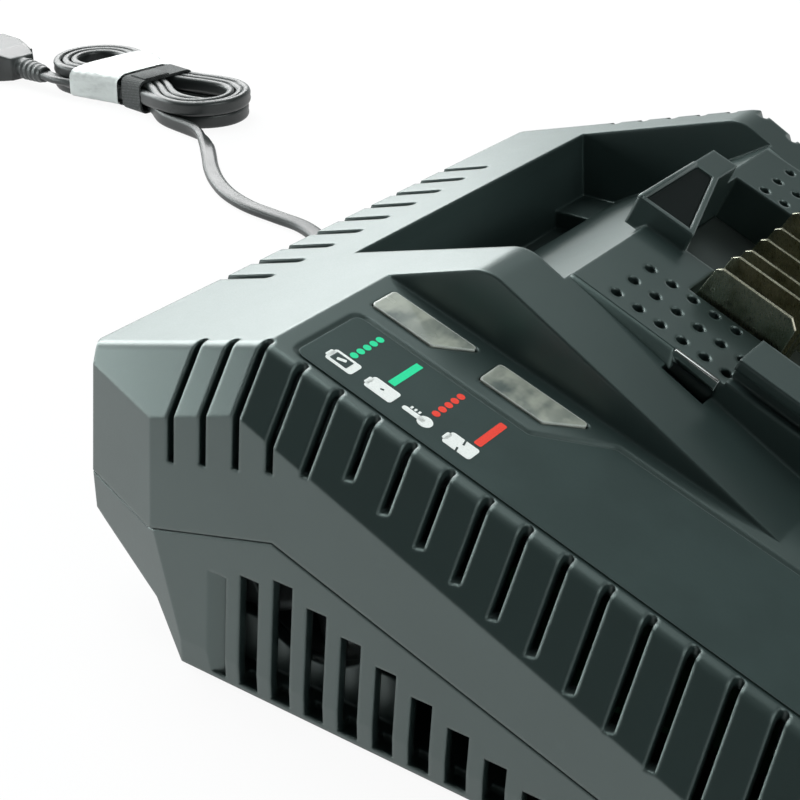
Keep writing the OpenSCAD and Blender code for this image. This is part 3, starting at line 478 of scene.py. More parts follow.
@dataclass(frozen=True)
class BoardLaminate(Finish):
    """Green circuit laminate with paler tracks under the mask."""

    colour: Colour = (0.012, 0.09, 0.04)
    track: Colour = (0.03, 0.19, 0.08)

    def paint(self, graph: Graph) -> Socket:
        """Builds the shader in a graph and returns it."""
        place = graph.place()
        along, across = graph.axis(place, "X"), graph.axis(place, "Y")
        drift = graph.noise(55.0, 1.0)
        lanes = ((along + drift * 0.02) * 900.0).sine().ramp(0.1, 0.4)
        rows = ((across - drift * 0.02) * 520.0).sine().ramp(0.2, 0.5)
        lanes_here, rows_here = graph.noise(70.0, 1.0).above(0.5), graph.noise(52.0, 1.0).above(0.52)
        tracks = (lanes * lanes_here + rows * rows_here).clamped()
        tint = graph.blend(self.colour, self.track, tracks)
        return graph.surface({
            "Base Color": tint, "Roughness": 0.3 + tracks * 0.1,
            "Normal": graph.bump(tracks, 0.00005, 0.5, graph.rounded_normal(0.0002))})


@dataclass(frozen=True)
class WoundWire(Finish):
    """Enamelled or taped winding, seen as fine turns."""

    colour: Colour = (0.5, 0.2, 0.06)
    shade: Colour = (0.2, 0.06, 0.02)
    turn: float = 0.0007
    direction: str = "Z"
    metallic: float = 0.6

    def paint(self, graph: Graph) -> Socket:
        """Builds the shader in a graph and returns it."""
        wave = (graph.axis(graph.place(), self.direction) * (2 * math.pi / self.turn)).sine() * 0.5 + 0.5
        drift = graph.noise(240.0, 2.0)
        tint = graph.blend(self.shade, self.colour, (wave * 0.7 + drift * 0.4).clamped())
        return graph.surface({
            "Base Color": tint, "Metallic": self.metallic, "Roughness": 0.32 + drift * 0.1,
            "Normal": graph.bump(wave, 0.0002, 0.6)})


@dataclass(frozen=True)
class HookTape(Finish):
    """Woven hook-and-loop tape."""

    colour: Colour = (0.012, 0.014, 0.014)
    nap: Colour = (0.05, 0.055, 0.055)

    def paint(self, graph: Graph) -> Socket:
        """Builds the shader in a graph and returns it."""
        place = graph.place()
        warp = (graph.axis(place, "X") * 7000.0).sine() * 0.5 + 0.5
        weft = ((graph.axis(place, "Y") + graph.axis(place, "Z")) * 5200.0).sine() * 0.5 + 0.5
        fuzz = graph.noise(2200.0, 3.0, 0.7)
        weave = warp * weft
        tint = graph.blend(self.colour, self.nap, (weave * 0.6 + fuzz.ramp(0.5, 0.8) * 0.6).clamped())
        return graph.surface({
            "Base Color": tint, "Roughness": 0.9, "Sheen Weight": 0.3, "Sheen Roughness": 0.5,
            "Normal": graph.bump(weave + fuzz, 0.0002, 0.7)})


@dataclass(frozen=True)
class PaleFilm(Finish):
    """Thin cloudy wrapping film with creases."""

    colour: Colour = (0.78, 0.8, 0.79)

    def paint(self, graph: Graph) -> Socket:
        """Builds the shader in a graph and returns it."""
        crease = graph.noise(160.0, 4.0, 0.65, graph.turned((0.35, 1, 1)))
        tint = graph.blend(self.colour, tuple(c * 0.8 for c in self.colour), crease.ramp(0.45, 0.7))
        return graph.surface({
            "Base Color": tint, "Roughness": 0.22 + crease * 0.2, "IOR": 1.45,
            "Transmission Weight": 0.3, "Normal": graph.bump(crease, 0.0012, 0.7)})


# ---------------------------------------------------------------- work with operators

class Bench:
    """Modelling with Blender's operators on one object at a time."""

    @staticmethod
    def clear() -> None:
        """Leaves edit mode and deselects everything."""
        if bpy.context.object is not None and bpy.context.object.mode != "OBJECT":
            bpy.ops.object.mode_set(mode="OBJECT")
        bpy.ops.object.select_all(action="DESELECT")

    @staticmethod
    def only(obj: bpy.types.Object) -> None:
        """Selects one object and makes it active."""
        Bench.clear()
        obj.select_set(True)
        bpy.context.view_layer.objects.active = obj

    @staticmethod
    def box(name: str, centre: Point, size: Point) -> bpy.types.Object:
        """Adds a cuboid with its size in the mesh.

        Args:
            name: the piece's name.
            centre: its centre in millimetres.
            size: its lengths in millimetres.

        Returns:
            The new object.
        """
        Bench.clear()
        bpy.ops.mesh.primitive_cube_add(size=1.0, location=tuple(v * MM for v in centre))
        made = bpy.context.object
        made.name = name
        made.scale = tuple(v * MM for v in size)
        Bench.settle(made)
        return made

    @staticmethod
    def rod(name: str, centre: Point, radius: float, length: float, turn: Point = (0, 0, 0),
            sides: int = 32) -> bpy.types.Object:
        """Adds a cylinder.

        Args:
            name: the piece's name.
            centre: its centre in millimetres.
            radius: its radius in millimetres.
            length: its length in millimetres.
            turn: turns about X, Y and Z in degrees.
            sides: number of sides.

        Returns:
            The new object.
        """
        Bench.clear()
        bpy.ops.mesh.primitive_cylinder_add(
            vertices=sides, radius=radius * MM, depth=length * MM, location=tuple(v * MM for v in centre),
            rotation=tuple(math.radians(a) for a in turn))
        made = bpy.context.object
        made.name = name
        Bench.settle(made)
        return made

    @staticmethod
    def settle(obj: bpy.types.Object) -> None:
        """Applies an object's place, turn and scale to its mesh."""
        Bench.only(obj)
        bpy.ops.object.transform_apply(location=True, rotation=True, scale=True)

    @staticmethod
    def carry(obj: bpy.types.Object, matrix: Matrix) -> None:
        """Takes a mesh to its place by a matrix."""
        obj.matrix_world = matrix
        Bench.settle(obj)

    @staticmethod
    def pick(obj: bpy.types.Object, test: Callable[[bpy.types.MeshPolygon], bool]) -> None:
        """Selects the faces that pass a test and enters face mode.

        Args:
            obj: the object.
            test: says whether a polygon is selected.
        """
        Bench.only(obj)
        bpy.ops.object.mode_set(mode="EDIT")
        bpy.ops.mesh.select_mode(type="FACE")
        bpy.ops.mesh.select_all(action="DESELECT")
        bpy.ops.object.mode_set(mode="OBJECT")
        for polygon in obj.data.polygons:
            polygon.select = test(polygon)
        bpy.ops.object.mode_set(mode="EDIT")

    @staticmethod
    def open_faces(obj: bpy.types.Object, test: Callable[[bpy.types.MeshPolygon], bool]) -> None:
        """Deletes the faces that pass a test and keeps their edges.

        Args:
            obj: the object.
            test: says whether a polygon is deleted.
        """
        Bench.pick(obj, test)
        bpy.ops.mesh.delete(type="ONLY_FACE")
        bpy.ops.object.mode_set(mode="OBJECT")

    @staticmethod
    def on_all(obj: bpy.types.Object, operator: Callable[..., object], **settings: object) -> None:
        """Runs one operator of edit mode on the whole mesh.

        Args:
            obj: the object.
            operator: the operator.
            settings: its settings.
        """
        Bench.only(obj)
        bpy.ops.object.mode_set(mode="EDIT")
        bpy.ops.mesh.select_all(action="SELECT")
        operator(**settings)
        bpy.ops.object.mode_set(mode="OBJECT")

    @staticmethod
    def outwards(obj: bpy.types.Object) -> None:
        """Turns all faces of a closed shape outwards."""
        Bench.on_all(obj, bpy.ops.mesh.normals_make_consistent, inside=False)

    @staticmethod
    def modify(obj: bpy.types.Object, kind: str, **settings: object) -> None:
        """Adds a modifier and applies it.

        Args:
            obj: the object.
            kind: Blender's name of the modifier.
            settings: its settings.
        """
        Bench.only(obj)
        modifier = obj.modifiers.new("step", kind)
        for name, value in settings.items():
            setattr(modifier, name, value)
        bpy.ops.object.modifier_apply(modifier=modifier.name)

    @staticmethod
    def bevel(obj: bpy.types.Object, width: float, segments: int, angle: float = 30.0) -> None:
        """Rounds the edges that are sharper than an angle.

        Args:
            obj: the object.
            width: width of the rounding in millimetres.
            segments: number of faces across it.
            angle: the least angle in degrees.
        """
        Bench.modify(obj, "BEVEL", width=width * MM, segments=segments, limit_method="ANGLE",
                     angle_limit=math.radians(angle))

    @staticmethod
    def smooth(obj: bpy.types.Object, angle: float = 32.0) -> None:
        """Shades an object smooth up to an angle in degrees."""
        Bench.only(obj)
        bpy.ops.object.shade_smooth_by_angle(angle=math.radians(angle))

    @staticmethod
    def join(parts: Sequence[bpy.types.Object], name: str) -> bpy.types.Object:
        """Joins objects into one.

        Args:
            parts: the objects, of which the first one stays.
            name: name of the result.

        Returns:
            The joined object.
        """
        Bench.clear()
        for part in parts:
            part.select_set(True)
        bpy.context.view_layer.objects.active = parts[0]
        bpy.ops.object.join()
        parts[0].name = name
        return parts[0]

    @staticmethod
    def place(name: str, mesh: bpy.types.Mesh) -> bpy.types.Object:
        """Adds an object that holds a mesh."""
        made = bpy.data.objects.new(name, mesh)
        bpy.context.scene.collection.objects.link(made)
        return made

    @staticmethod
    def dress(obj: bpy.types.Object, material: bpy.types.Material) -> None:
        """Gives an object one material."""
        obj.data.materials.clear()
        obj.data.materials.append(material)

    @staticmethod
    def mount(piece: bpy.types.Object, slot: Optional[str] = None, stands_for: Sequence[str] = ()) -> None:
        """Puts a finished piece on the charger's body.

        Args:
            piece: the piece.
            slot: not used.
            stands_for: the CAD nodes that it replaces.
        """
        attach(piece, "charger")
        if stands_for:
            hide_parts(*stands_for)
        LOG.info("made %s", piece.name)


def shift(x: float, y: float, z: float) -> Matrix:
    """Translation by millimetres."""
    return Matrix.Translation((x * MM, y * MM, z * MM))


def turn_about(axis: str, angle: float) -> Matrix:
    """Rotation about an axis by an angle in degrees."""
    return Matrix.Rotation(math.radians(angle), 4, axis)


def slope_frame(crest: Tuple[float, float], fall: float) -> Matrix:
    """Frame of a surface that falls towards the nose.

    Args:
        crest: place and height of its upper end in millimetres.
        fall: fall in degrees.

    Returns:
        The matrix from the surface's frame to the whole part's frame.
    """
    return shift(crest[0], 0, crest[1]) @ turn_about("Y", fall)


def ease(share: Union[float, np.ndarray]) -> Union[float, np.ndarray]:
    """A share from 0 to 1 with a soft start and end."""
    return share * share * (3 - 2 * share)


def signed_power(value: float, exponent: float) -> float:
    """Power of a value's size, with the value's sign."""
    return math.copysign(abs(value) ** exponent, value)


# ---------------------------------------------------------------- studio

@dataclass(frozen=True)
class Lamp:
    """A soft rectangular light, in metres and watts."""

    name: str
    place: Point
    size: Tuple[float, float]
    power: float
    aim_z: float = 0.06
    colour: Colour = COOL

    def build(self) -> None:
        """Makes the light, which faces the object's middle and which the camera doesn't see."""
        data = bpy.data.lights.new(self.name, "AREA")
        data.shape, data.size, data.size_y = "RECTANGLE", self.size[0], self.size[1]
        data.energy, data.color = self.power, self.colour
        made = bpy.data.objects.new(self.name, data)
        bpy.context.scene.collection.objects.link(made)
        made.location = self.place
        away = Vector(self.place) - Vector((0, 0, self.aim_z))
        made.rotation_euler = away.to_track_quat("Z", "Y").to_euler()
        made.visible_camera = False


@dataclass
class Studio:
    """Floor, white surroundings, soft lights and camera."""

    eye: Point = (0.1440, -0.2920, 0.2061)
    tilt: float = 62.0
    pan: float = 35.64
    lens: float = 70.8
    floor_size: float = 5.0
    floor_glow: float = 0.93
    lamps: Tuple[Lamp, ...] = (
        Lamp("left_softbox", (-1.25, -0.15, 0.26), (1.2, 0.4), 9.0),
        Lamp("window", (-1.06, 0.56, 0.52), (1.0, 0.45), 11.5, colour=(1, 1, 1)),
        Lamp("back_softbox", (-0.95, 1.1, 0.3), (1.6, 0.5), 1.5),
        Lamp("top_softbox", (-0.62, 0.2, 1.05), (0.8, 0.8), 11.5, 0.04),
        Lamp("ceiling_softbox", (-0.05, 0.8, 1.25), (1.0, 1.0), 3.0, 0.04),
        Lamp("right_fill", (1.15, -0.1, 0.66), (0.9, 0.5), 7.5))

    def camera(self) -> None:
        """Makes the camera."""
        data = bpy.data.cameras.new("camera")
        data.lens, data.sensor_width = self.lens, 36.0
        data.clip_start, data.clip_end = 0.01, 20.0
        made = bpy.data.objects.new("camera", data)
        bpy.context.scene.collection.objects.link(made)
        made.location = self.eye
        made.rotation_euler = (math.radians(self.tilt), 0.0, math.radians(self.pan))
        bpy.context.scene.camera = made

    def floor(self) -> None:
        """Makes the pale floor, which keeps the object's shadow."""
        Bench.clear()
        bpy.ops.mesh.primitive_plane_add(size=self.floor_size, location=(0, 0, 0))
        made = bpy.context.object
        made.name = "floor"
        material = bpy.data.materials.new("floor_white")
        material.use_nodes = True
        graph = Graph(material.node_tree)
        seen = graph.rays("Camera", "Glossy", "Transmission")
        paper = graph.node("ShaderNodeBsdfDiffuse", None, {"Color": (0.82, 0.83, 0.83)})
        white = graph.node("ShaderNodeEmission", None, {"Color": (1, 1, 1), "Strength": 1.0})
        graph.close(graph.node("ShaderNodeMixShader", None, {0: seen * self.floor_glow, 1: paper, 2: white}))
        Bench.dress(made, material)

    def world(self) -> None:
        """Makes the white surroundings that the camera sees and the dim room that lights the object."""
        made = bpy.data.worlds.new("studio")
        bpy.context.scene.world = made
        made.use_nodes = True
        graph = Graph(made.node_tree)
        direction = graph.node("ShaderNodeTexCoord", output="Generated")
        side, back, rise = (graph.axis(direction, name) for name in "XYZ")
        wall = rise.ramp(0.42, 0.1) * (back * 0.75 - side * 0.65).ramp(-0.5, 0.35)
        room = graph.node("ShaderNodeBackground", None, {"Color": COOL, "Strength": wall * 0.8 + 0.045})
        white = graph.node("ShaderNodeBackground", None, {"Color": (1, 1, 1), "Strength": 1.0})
        seen = graph.rays("Camera", "Transmission")
        mixed = graph.node("ShaderNodeMixShader", None, {0: seen, 1: room, 2: white})
        graph.close(mixed, "ShaderNodeOutputWorld")

    def build(self) -> None:
        """Makes the whole studio."""
        self.camera()
        self.floor()
        self.world()
        for lamp in self.lamps:
            lamp.build()
        bpy.context.scene.view_settings.view_transform = "Standard"


# ---------------------------------------------------------------- printed panel

class Mark(Enum):
    """Inks of the printed panel."""

    WHITE = "white"
    GREEN = "green"
    RED = "red"
    DARK = "dark"


@dataclass
class PrintedPanel:
    """Pictograms and signal marks on the control panel, in millimetres of the panel's own frame."""

    crease: Tuple[float, float] = (-35.5, 74.0)
    fall: float = 19.2
    film_depth: float = 0.25
    layer: float = 0.05
    dot_d: float = 1.75
    dot_pitch: float = 2.13
    dot_y: float = -73.55
    dots: int = 5
    rows_x: Tuple[float, float, float, float] = (12.65, 22.5, 33.3, 43.55)
    bar_w: float = 1.75
    bar_y: Tuple[float, float] = (-74.1, -64.4)
    battery_l: float = 6.7
    battery_w: float = 4.1
    pole_l: float = 0.6
    stem_l: float = 5.4
    bulb_d: float = 3.3
    icon_y: float = -77.0
    parts: Dict[Mark, List[bpy.types.Object]] = field(default_factory=dict)

    def plate(self, ink: Mark, x: Tuple[float, float], y: Tuple[float, float], corner: float, level: int = 0,
              turn: float = 0.0) -> None:
        """Adds a thin rounded plate of ink.

        Args:
            ink: which ink it is.
            x: its reach down the slope.
            y: its reach across.
            corner: radius of its corners.
            level: number of layers under it.
            turn: turn about its own centre in degrees.
        """
        Bench.clear()
        bpy.ops.mesh.primitive_plane_add(size=1.0, location=(0, 0, 0))
        made = bpy.context.object
        made.scale = ((x[1] - x[0]) * MM, (y[1] - y[0]) * MM, 1.0)
        Bench.settle(made)
        Bench.on_all(made, bpy.ops.mesh.bevel, offset=corner * MM, segments=5, affect="VERTICES")
        Bench.on_all(made, bpy.ops.mesh.extrude_region_move,
                     TRANSFORM_OT_translate={"value": (0, 0, self.layer * MM)})
        Bench.outwards(made)
        middle = shift((x[0] + x[1]) / 2, (y[0] + y[1]) / 2, level * self.layer - self.film_depth)
        Bench.carry(made, middle @ turn_about("Z", turn))
        self.parts.setdefault(ink, []).append(made)

    def disc(self, ink: Mark, x: float, y: float, d: float, level: int = 0) -> None:
        """Adds a thin disc of ink.

        Args:
            ink: which ink it is.
            x: its place down the slope.
            y: its place across.
            d: its diameter.
            level: number of layers under it.
        """
        z = (level + 0.5) * self.layer - self.film_depth
        made = Bench.rod("disc", (x, y, z), d / 2, self.layer, sides=28)
        self.parts.setdefault(ink, []).append(made)

    def battery(self, x: float) -> None:
        """Adds the outline of a battery pack, whose terminal points up the slope.

        Args:
            x: its upper end.
        """
        y, half, pole = self.icon_y, self.battery_w / 2, 1.15
        self.plate(Mark.WHITE, (x, x + self.battery_l), (y - half, y + half), 0.7)
        self.plate(Mark.WHITE, (x - 0.55, x + self.pole_l), (y - pole, y + pole), 0.4)

    def charging_sign(self, x: float) -> None:
        """Adds a battery with a dark window and a slanted bar in it."""
        y = self.icon_y
        self.battery(x - self.battery_l / 2)
        self.plate(Mark.DARK, (x - 2.6, x + 1.6), (y - 1.2, y + 1.35), 0.15, 1)
        self.plate(Mark.WHITE, (x - 1.55, x + 0.5), (y - 0.35, y + 0.5), 0.25, 2, 24.0)

    def full_sign(self, x: float) -> None:
        """Adds a battery with a small slanted spot."""
        y = self.icon_y
        self.battery(x - self.battery_l / 2)
        self.plate(Mark.DARK, (x - 0.45, x + 0.35), (y - 0.2, y + 0.2), 0.1, 1, 24.0)

    def hot_sign(self, x: float) -> None:
        """Adds a thermometer with three scale marks."""
        y = self.icon_y
        self.plate(Mark.WHITE, (x - self.stem_l, x), (y - 1.05, y + 0.25), 0.6)
        self.disc(Mark.WHITE, x + 0.05, y - 0.4, self.bulb_d)
        for k in range(3):
            start = x - 4.3 + 0.95 * k
            self.plate(Mark.WHITE, (start, start + 0.5), (y + 0.45, y + 1.25), 0.1)

    def fault_sign(self, x: float) -> None:
        """Adds a battery with a broken line across it."""
        y = self.icon_y
        self.battery(x - 5.15)
        self.plate(Mark.DARK, (x - 2.0, x - 1.6), (y + 0.5, y + 2.2), 0.05, 1, 16.0)
        self.plate(Mark.DARK, (x - 1.95, x - 1.55), (y - 2.2, y - 0.9), 0.05, 1, 16.0)

    def marks(self) -> None:
        """Adds all pictograms, the rows of dots and the bars."""
        charging, full, hot, fault = self.rows_x
        self.charging_sign(charging)
        self.full_sign(full)
        self.hot_sign(hot)
        self.fault_sign(fault)
        for row, ink in ((charging, Mark.GREEN), (hot, Mark.RED)):
            for k in range(self.dots):
                self.disc(ink, row, self.dot_y + k * self.dot_pitch, self.dot_d)
        for row, ink, corner in ((full, Mark.GREEN, 0.15), (fault, Mark.RED, 0.45)):
            self.plate(ink, (row - self.bar_w / 2, row + self.bar_w / 2), self.bar_y, corner)

    def build(self) -> None:
        """Makes the marks and lays them on the panel."""
        self.marks()
        inks = {
            Mark.WHITE: Ink((0.94, 0.95, 0.93)), Mark.GREEN: Ink((0.02, 0.8, 0.38)),
            Mark.RED: Ink((0.95, 0.065, 0.04)), Mark.DARK: LabelFilm(),
        }
        frame = slope_frame(self.crease, self.fall)
        for ink, parts in self.parts.items():
            made = Bench.join(parts, f"print_{ink.value}")
            Bench.carry(made, frame)
            Bench.dress(made, inks[ink].material(f"ink_{ink.value}"))
            Bench.mount(made, "label")


# ---------------------------------------------------------------- bay trim

def solid(name: str, rings: Sequence[Sequence[Point]]) -> bpy.types.Object:
    """Makes a closed solid from outlines that follow one another.

    Args:
        name: the piece's name.
        rings: outlines with the same number of points, in millimetres.

    Returns:
        The new object.
    """
    count, last = len(rings[0]), (len(rings) - 1) * len(rings[0])
    faces = []
    for start in range(0, last, count):
        for k in range(count):
            after = (k + 1) % count
            faces.append((start + k, start + after, start + count + after, start + count + k))
    faces += [tuple(range(count))[::-1], tuple(range(last, last + count))]
    mesh = bpy.data.meshes.new(name)
    mesh.from_pydata([tuple(v * MM for v in point) for ring in rings for point in ring], [], faces)
    made = Bench.place(name, mesh)
    Bench.outwards(made)
    return made


@dataclass
class BayTrim:
    """Eroded lips with a painted highlight, steel strips and dark slot pans of painted shade along the raised
    floor of the bay, in millimetres.
    """

    crest: Tuple[float, float] = (-2.5, 75.6)
    floor_fall: float = 23.2
    peak: Tuple[float, float] = (-11.8, 80.57)
    rim_fall: float = 29.5
    floor_edge: float = -25.8
    middle: float = 22.8
    lip_x: Tuple[float, float] = (-2.6, 21.9)
    lip_slope: float = 62.0
    lip_least: float = 1.7
    lip_sections: int = 9
    strip_along: Tuple[float, float] = (26.9, 37.9)
    strip_size: Tuple[float, float] = (1.1, 2.6)
    bead_at: Point = (-4.45, 20.8, 4.6)
    bead_long: float = 27.4
    strip_in: float = 0.38
    strip_up: float = 0.22
    bead_r: float = 0.85
    slot_wide: float = 3.1
    pan_thick: float = 1.4
    pan_drop: float = 8.5
    pan_wall: float = 0.5
    pan_deep: float = 0.6

    def floor_z(self, x: float) -> float:
        """Height of the bay floor."""
        return self.crest[1] - math.tan(math.radians(self.floor_fall)) * (x - self.crest[0])

    def rim_z(self, x: float) -> float:
        """Height of the rim beside the bay."""
        return self.peak[1] - math.tan(math.radians(self.rim_fall)) * (x - self.peak[0])

    def slope(self) -> Matrix:
        """Frame of the bay floor."""
        return slope_frame(self.crest, self.floor_fall)

    def lip(self) -> bpy.types.Object:
        """Makes the sloping lip between the rim and the floor's level."""
        rings, edge, sunk = [], self.floor_edge + 0.05, 0.4
        for x in np.linspace(self.lip_x[0], self.lip_x[1], self.lip_sections):
            top, foot = self.floor_z(x) - 0.05, self.rim_z(x)
            wide = max(self.lip_least, (top - foot) / math.tan(math.radians(self.lip_slope)))
            rings.append([(x, edge, foot - sunk), (x, edge, top), (x, edge - 0.5, top - 0.05),
                          (x, edge - wide, foot + 0.03), (x, edge - wide, foot - sunk)])
        made = solid("bay_lip", rings)
        Bench.bevel(made, 0.25, 3, 22)
        Bench.smooth(made, 40.0)
        return made

    def strip(self) -> bpy.types.Object:
        """Makes the steel strip that stands in the slot beside the floor."""
        along, (thick, deep) = self.strip_along, self.strip_size
        made = Bench.box("slide_strip", (0, 0, 0), (along[1] - along[0], thick, deep))
        Bench.bevel(made, 0.2, 3)
        Bench.carry(made, self.slope() @ shift(
            sum(along) / 2, self.floor_edge + self.strip_in - thick / 2, self.strip_up - deep / 2))
        Bench.smooth(made)
        return made

    def pan(self) -> bpy.types.Object:
        """Makes the near-black pan that closes the slot beside the strip from below, painted shade that keeps
        the slot dark.
        """
        along, thick = self.strip_along, self.strip_size[0]
        made = Bench.box("slot_pan", (0, 0, 0), (along[1] - along[0], self.slot_wide, self.pan_thick))
        Bench.pick(made, lambda f: f.normal.z > 0.9)
        bpy.ops.mesh.inset(thickness=self.pan_wall * MM)
        bpy.ops.transform.translate(value=(0, 0, -self.pan_deep * MM))
        bpy.ops.object.mode_set(mode="OBJECT")
        Bench.carry(made, self.slope() @ shift(
            sum(along) / 2, self.floor_edge + self.strip_in - thick - self.slot_wide / 2, -self.pan_drop))
        return made

    def bead(self) -> None:
        """Makes the rounded bead along the upper edge of the contact hood."""
        made = Bench.rod("hood_bead", (0, 0, 0), self.bead_r, self.bead_long, (90, 0, 0), 20)
        Bench.bevel(made, 0.5, 3, 50)
        Bench.carry(made, self.slope() @ shift(*self.bead_at))
        Bench.smooth(made)
        Bench.dress(made, MouldedPlastic(roughness=0.3).material("bead_plastic"))
        Bench.mount(made, "housing")

    def build(self) -> None:
        """Makes the trim beside the near rim and its mirror image beside the far rim, and the bead."""
        self.bead()
        # The lips have a coarser eroded grain, and a colour lighter than the shell's, which is a painted
        # highlight.
        eroded = MouldedPlastic((0.05, 0.075, 0.071), (0.13, 0.17, 0.16), 0.48, 1700.0, 0.0001)
        steel = SheetMetal((0.86, 0.87, 0.86), (0.7, 0.71, 0.7), 0.16)
        # painted shade: a near-black finish that hardly reflects, so that the slot reads dark
        painted_shade_black = MouldedPlastic((0.004, 0.006, 0.006), (0.008, 0.01, 0.01), 0.8, ior=1.02)
        flip = shift(0, 2 * self.middle, 0) @ Matrix.Scale(-1, 4, (0, 1, 0))
        for piece, finish, name, slot in ((self.lip(), eroded, "eroded_lip_highlight", "housing"),
                                          (self.strip(), steel, "slide_steel", "steel"),
                                          (self.pan(), painted_shade_black, "pan_painted_shade", "housing")):
            dress = finish.material(name)
            twin = Bench.place(f"{piece.name}_far", piece.data.copy())
            Bench.carry(twin, flip)
            Bench.outwards(twin)
            for made in (piece, twin):
                Bench.dress(made, dress)
                Bench.mount(made, slot)


# ---------------------------------------------------------------- lead

@dataclass
class MainsLead:
    """Flat twin lead with its hank, tie, wrap and plug; lengths are millimetres."""

    width: float = 6.0
    thickness: float = 3.6
    waist: float = 0.84
    hank_at: Tuple[float, float] = (-332.0, 186.0)
    hank_turn: float = -8.0
    fold_x: float = 35.2
    fold_r: float = 11.0
    pitch: float = 3.8
    row_z: Tuple[float, float] = (3.15, 9.45)
    pinch_x: float = 8.0
    pinch_y: float = 2.2
    pinch_lift: float = 0.85
    pinch_long: float = 13.0
    stand_up: Tuple[float, float] = (26.0, 40.0)  # start before the hank, length of the turn onto the edge
    lie_down: Tuple[float, float] = (6.0, 34.0)  # end before the plug, length of the turn back
    clear: float = 0.03
    step: float = 2.0
    front_x: Tuple[float, ...] = (30.0, 18.0, 8.0, -4.0, -16.0, -27.0)
    back_x: Tuple[float, ...] = (-27.0, -14.0, -2.0, 8.0, 18.0, 28.0)
    bend: Tuple[float, ...] = (8.0, 42.0, 76.0, 104.0, 138.0, 172.0)  # degrees round a fold
    bend_end: float = 166.0
    run_out: Tuple[Tuple[float, float], ...] = (  # last run: place, share of the way to the plug
        (29.0, 0.1), (20.0, 0.45), (10.0, 0.8), (0.0, 1.0), (-11.0, 1.0), (-23.0, 1.0))
    tie_size: Point = (12.0, 29.2, 14.2)
    tie_at: Tuple[float, float] = (-1.9, 7.13)
    tie_round: float = 3.2
    tie_thick: float = 1.0
    tail_size: Point = (10.0, 13.0, 0.9)
    tail_at: Point = (1.0, -4.5, 7.4)
    plug_at: Point = (-45.0, -22.6, 6.8)
    wrap_x: Tuple[float, float] = (-25.0, -0.5)
    wrap_half: float = 6.9
    wrap_room: float = 2.9
    wrap_square: float = 0.36
    wrap_thick: float = 0.25
    wrap_rings: int = 26
    wrap_sides: int = 56
    creases: Tuple[Tuple[float, float, float, float], ...] = (  # height, waves along, waves round, phase
        (0.22, 1.7, 5.0, 0.0), (0.16, 0.9, -9.0, 1.3), (0.1, 3.1, 2.0, 0.0))
    grip_n: int = 5
    grip_x: float = 27.0
    grip_pitch: float = 2.6
    grip_y: float = 10.9
    grip_flare: float = 0.45
    grip_size: Point = (1.3, 2.4, 9.0)
    neck_n: int = 4
    neck_x: float = 3.5
    neck_pitch: float = 3.2
    neck_r: float = 4.15
    neck_flare: float = 0.22
    neck_wide: float = 1.5
    voxel: float = 0.36
    route: Tuple[Point, ...] = (
        (-85, 49, 4.4), (-98, 50, 2.6), (-111, 53, 1.8), (-126, 60, 1.8), (-140, 72, 1.8), (-154, 86, 1.8),
        (-168, 98, 1.8), (-182, 105, 1.8), (-196, 107, 1.8), (-210, 109, 1.8), (-224, 114, 1.8),
        (-237, 122, 1.8), (-249, 132, 1.8), (-260, 143, 1.8), (-268.5, 151, 2.0), (-278, 157.5, 2.4))
    turns: Tuple[Tuple[int, int], ...] = ((2, 0), (1, 0), (0, 0), (0, 1), (1, 1), (2, 1))  # column, row

    def hank_frame(self) -> Matrix:
        """Frame of the hank."""
        return shift(*self.hank_at, 0) @ turn_about("Z", self.hank_turn)

    def half_width(self, x: float, column: int) -> float:
        """Distance of a side run from the hank's middle line.

        Args:
            x: place along the hank.
            column: which column of runs, from the inside.

        Returns:
            The distance in millimetres.
        """
        wide = self.fold_r + self.pitch * column
        tight = self.pinch_y + self.pitch * column
        reach = (self.fold_x - self.pinch_x) if x > self.pinch_x else (self.pinch_x + self.fold_x)
        return tight + (wide - tight) * ease(min(1.0, abs(x - self.pinch_x) / reach))

    def hank_line(self) -> List[Point]:
        """Points of the wound length in the hank's frame, front side first."""
        points: List[Point] = []
        high, last = self.row_z[1], len(self.turns) - 1
        for index, (column, row) in enumerate(self.turns):
            after = self.turns[min(index + 1, last)]
            z, z_after = self.row_z[row], self.row_z[after[1]]
            radius = self.fold_r + self.pitch * column
            points += [(x, -self.half_width(x, column), z) for x in self.front_x]
            points += [(-self.fold_x - radius * math.sin(a), -radius * math.cos(a), z)
                       for a in np.radians(self.bend)]
            points += [(x, self.half_width(x, column), z) for x in self.back_x]
            for step, a in enumerate(np.radians((*self.bend[:-1], self.bend_end))):
                share = ease((step + 1) / len(self.bend))
                mixed = radius + self.pitch * (after[0] - column) * share
                points.append((self.fold_x + mixed * math.sin(a), mixed * math.cos(a),
                               z + (z_after - z) * share))
        plug_x, plug_y, plug_z = self.plug_at
        for x, share in self.run_out:
            inner, outer = self.half_width(x, 2), self.half_width(x, 3)
            points.append((x, -(inner + (outer - inner) * min(1.0, share * 1.6)),
                           high + (plug_z - 1.0 - high) * share))
        points += [(plug_x + 10.0, plug_y - 0.4, plug_z - 0.2), (plug_x, plug_y, plug_z),
                   (plug_x - 4.0, plug_y, plug_z)]
        return [(x, y, z + self.pinch_lift * math.exp(-((x - self.pinch_x) / self.pinch_long) ** 2))
                for x, y, z in points]

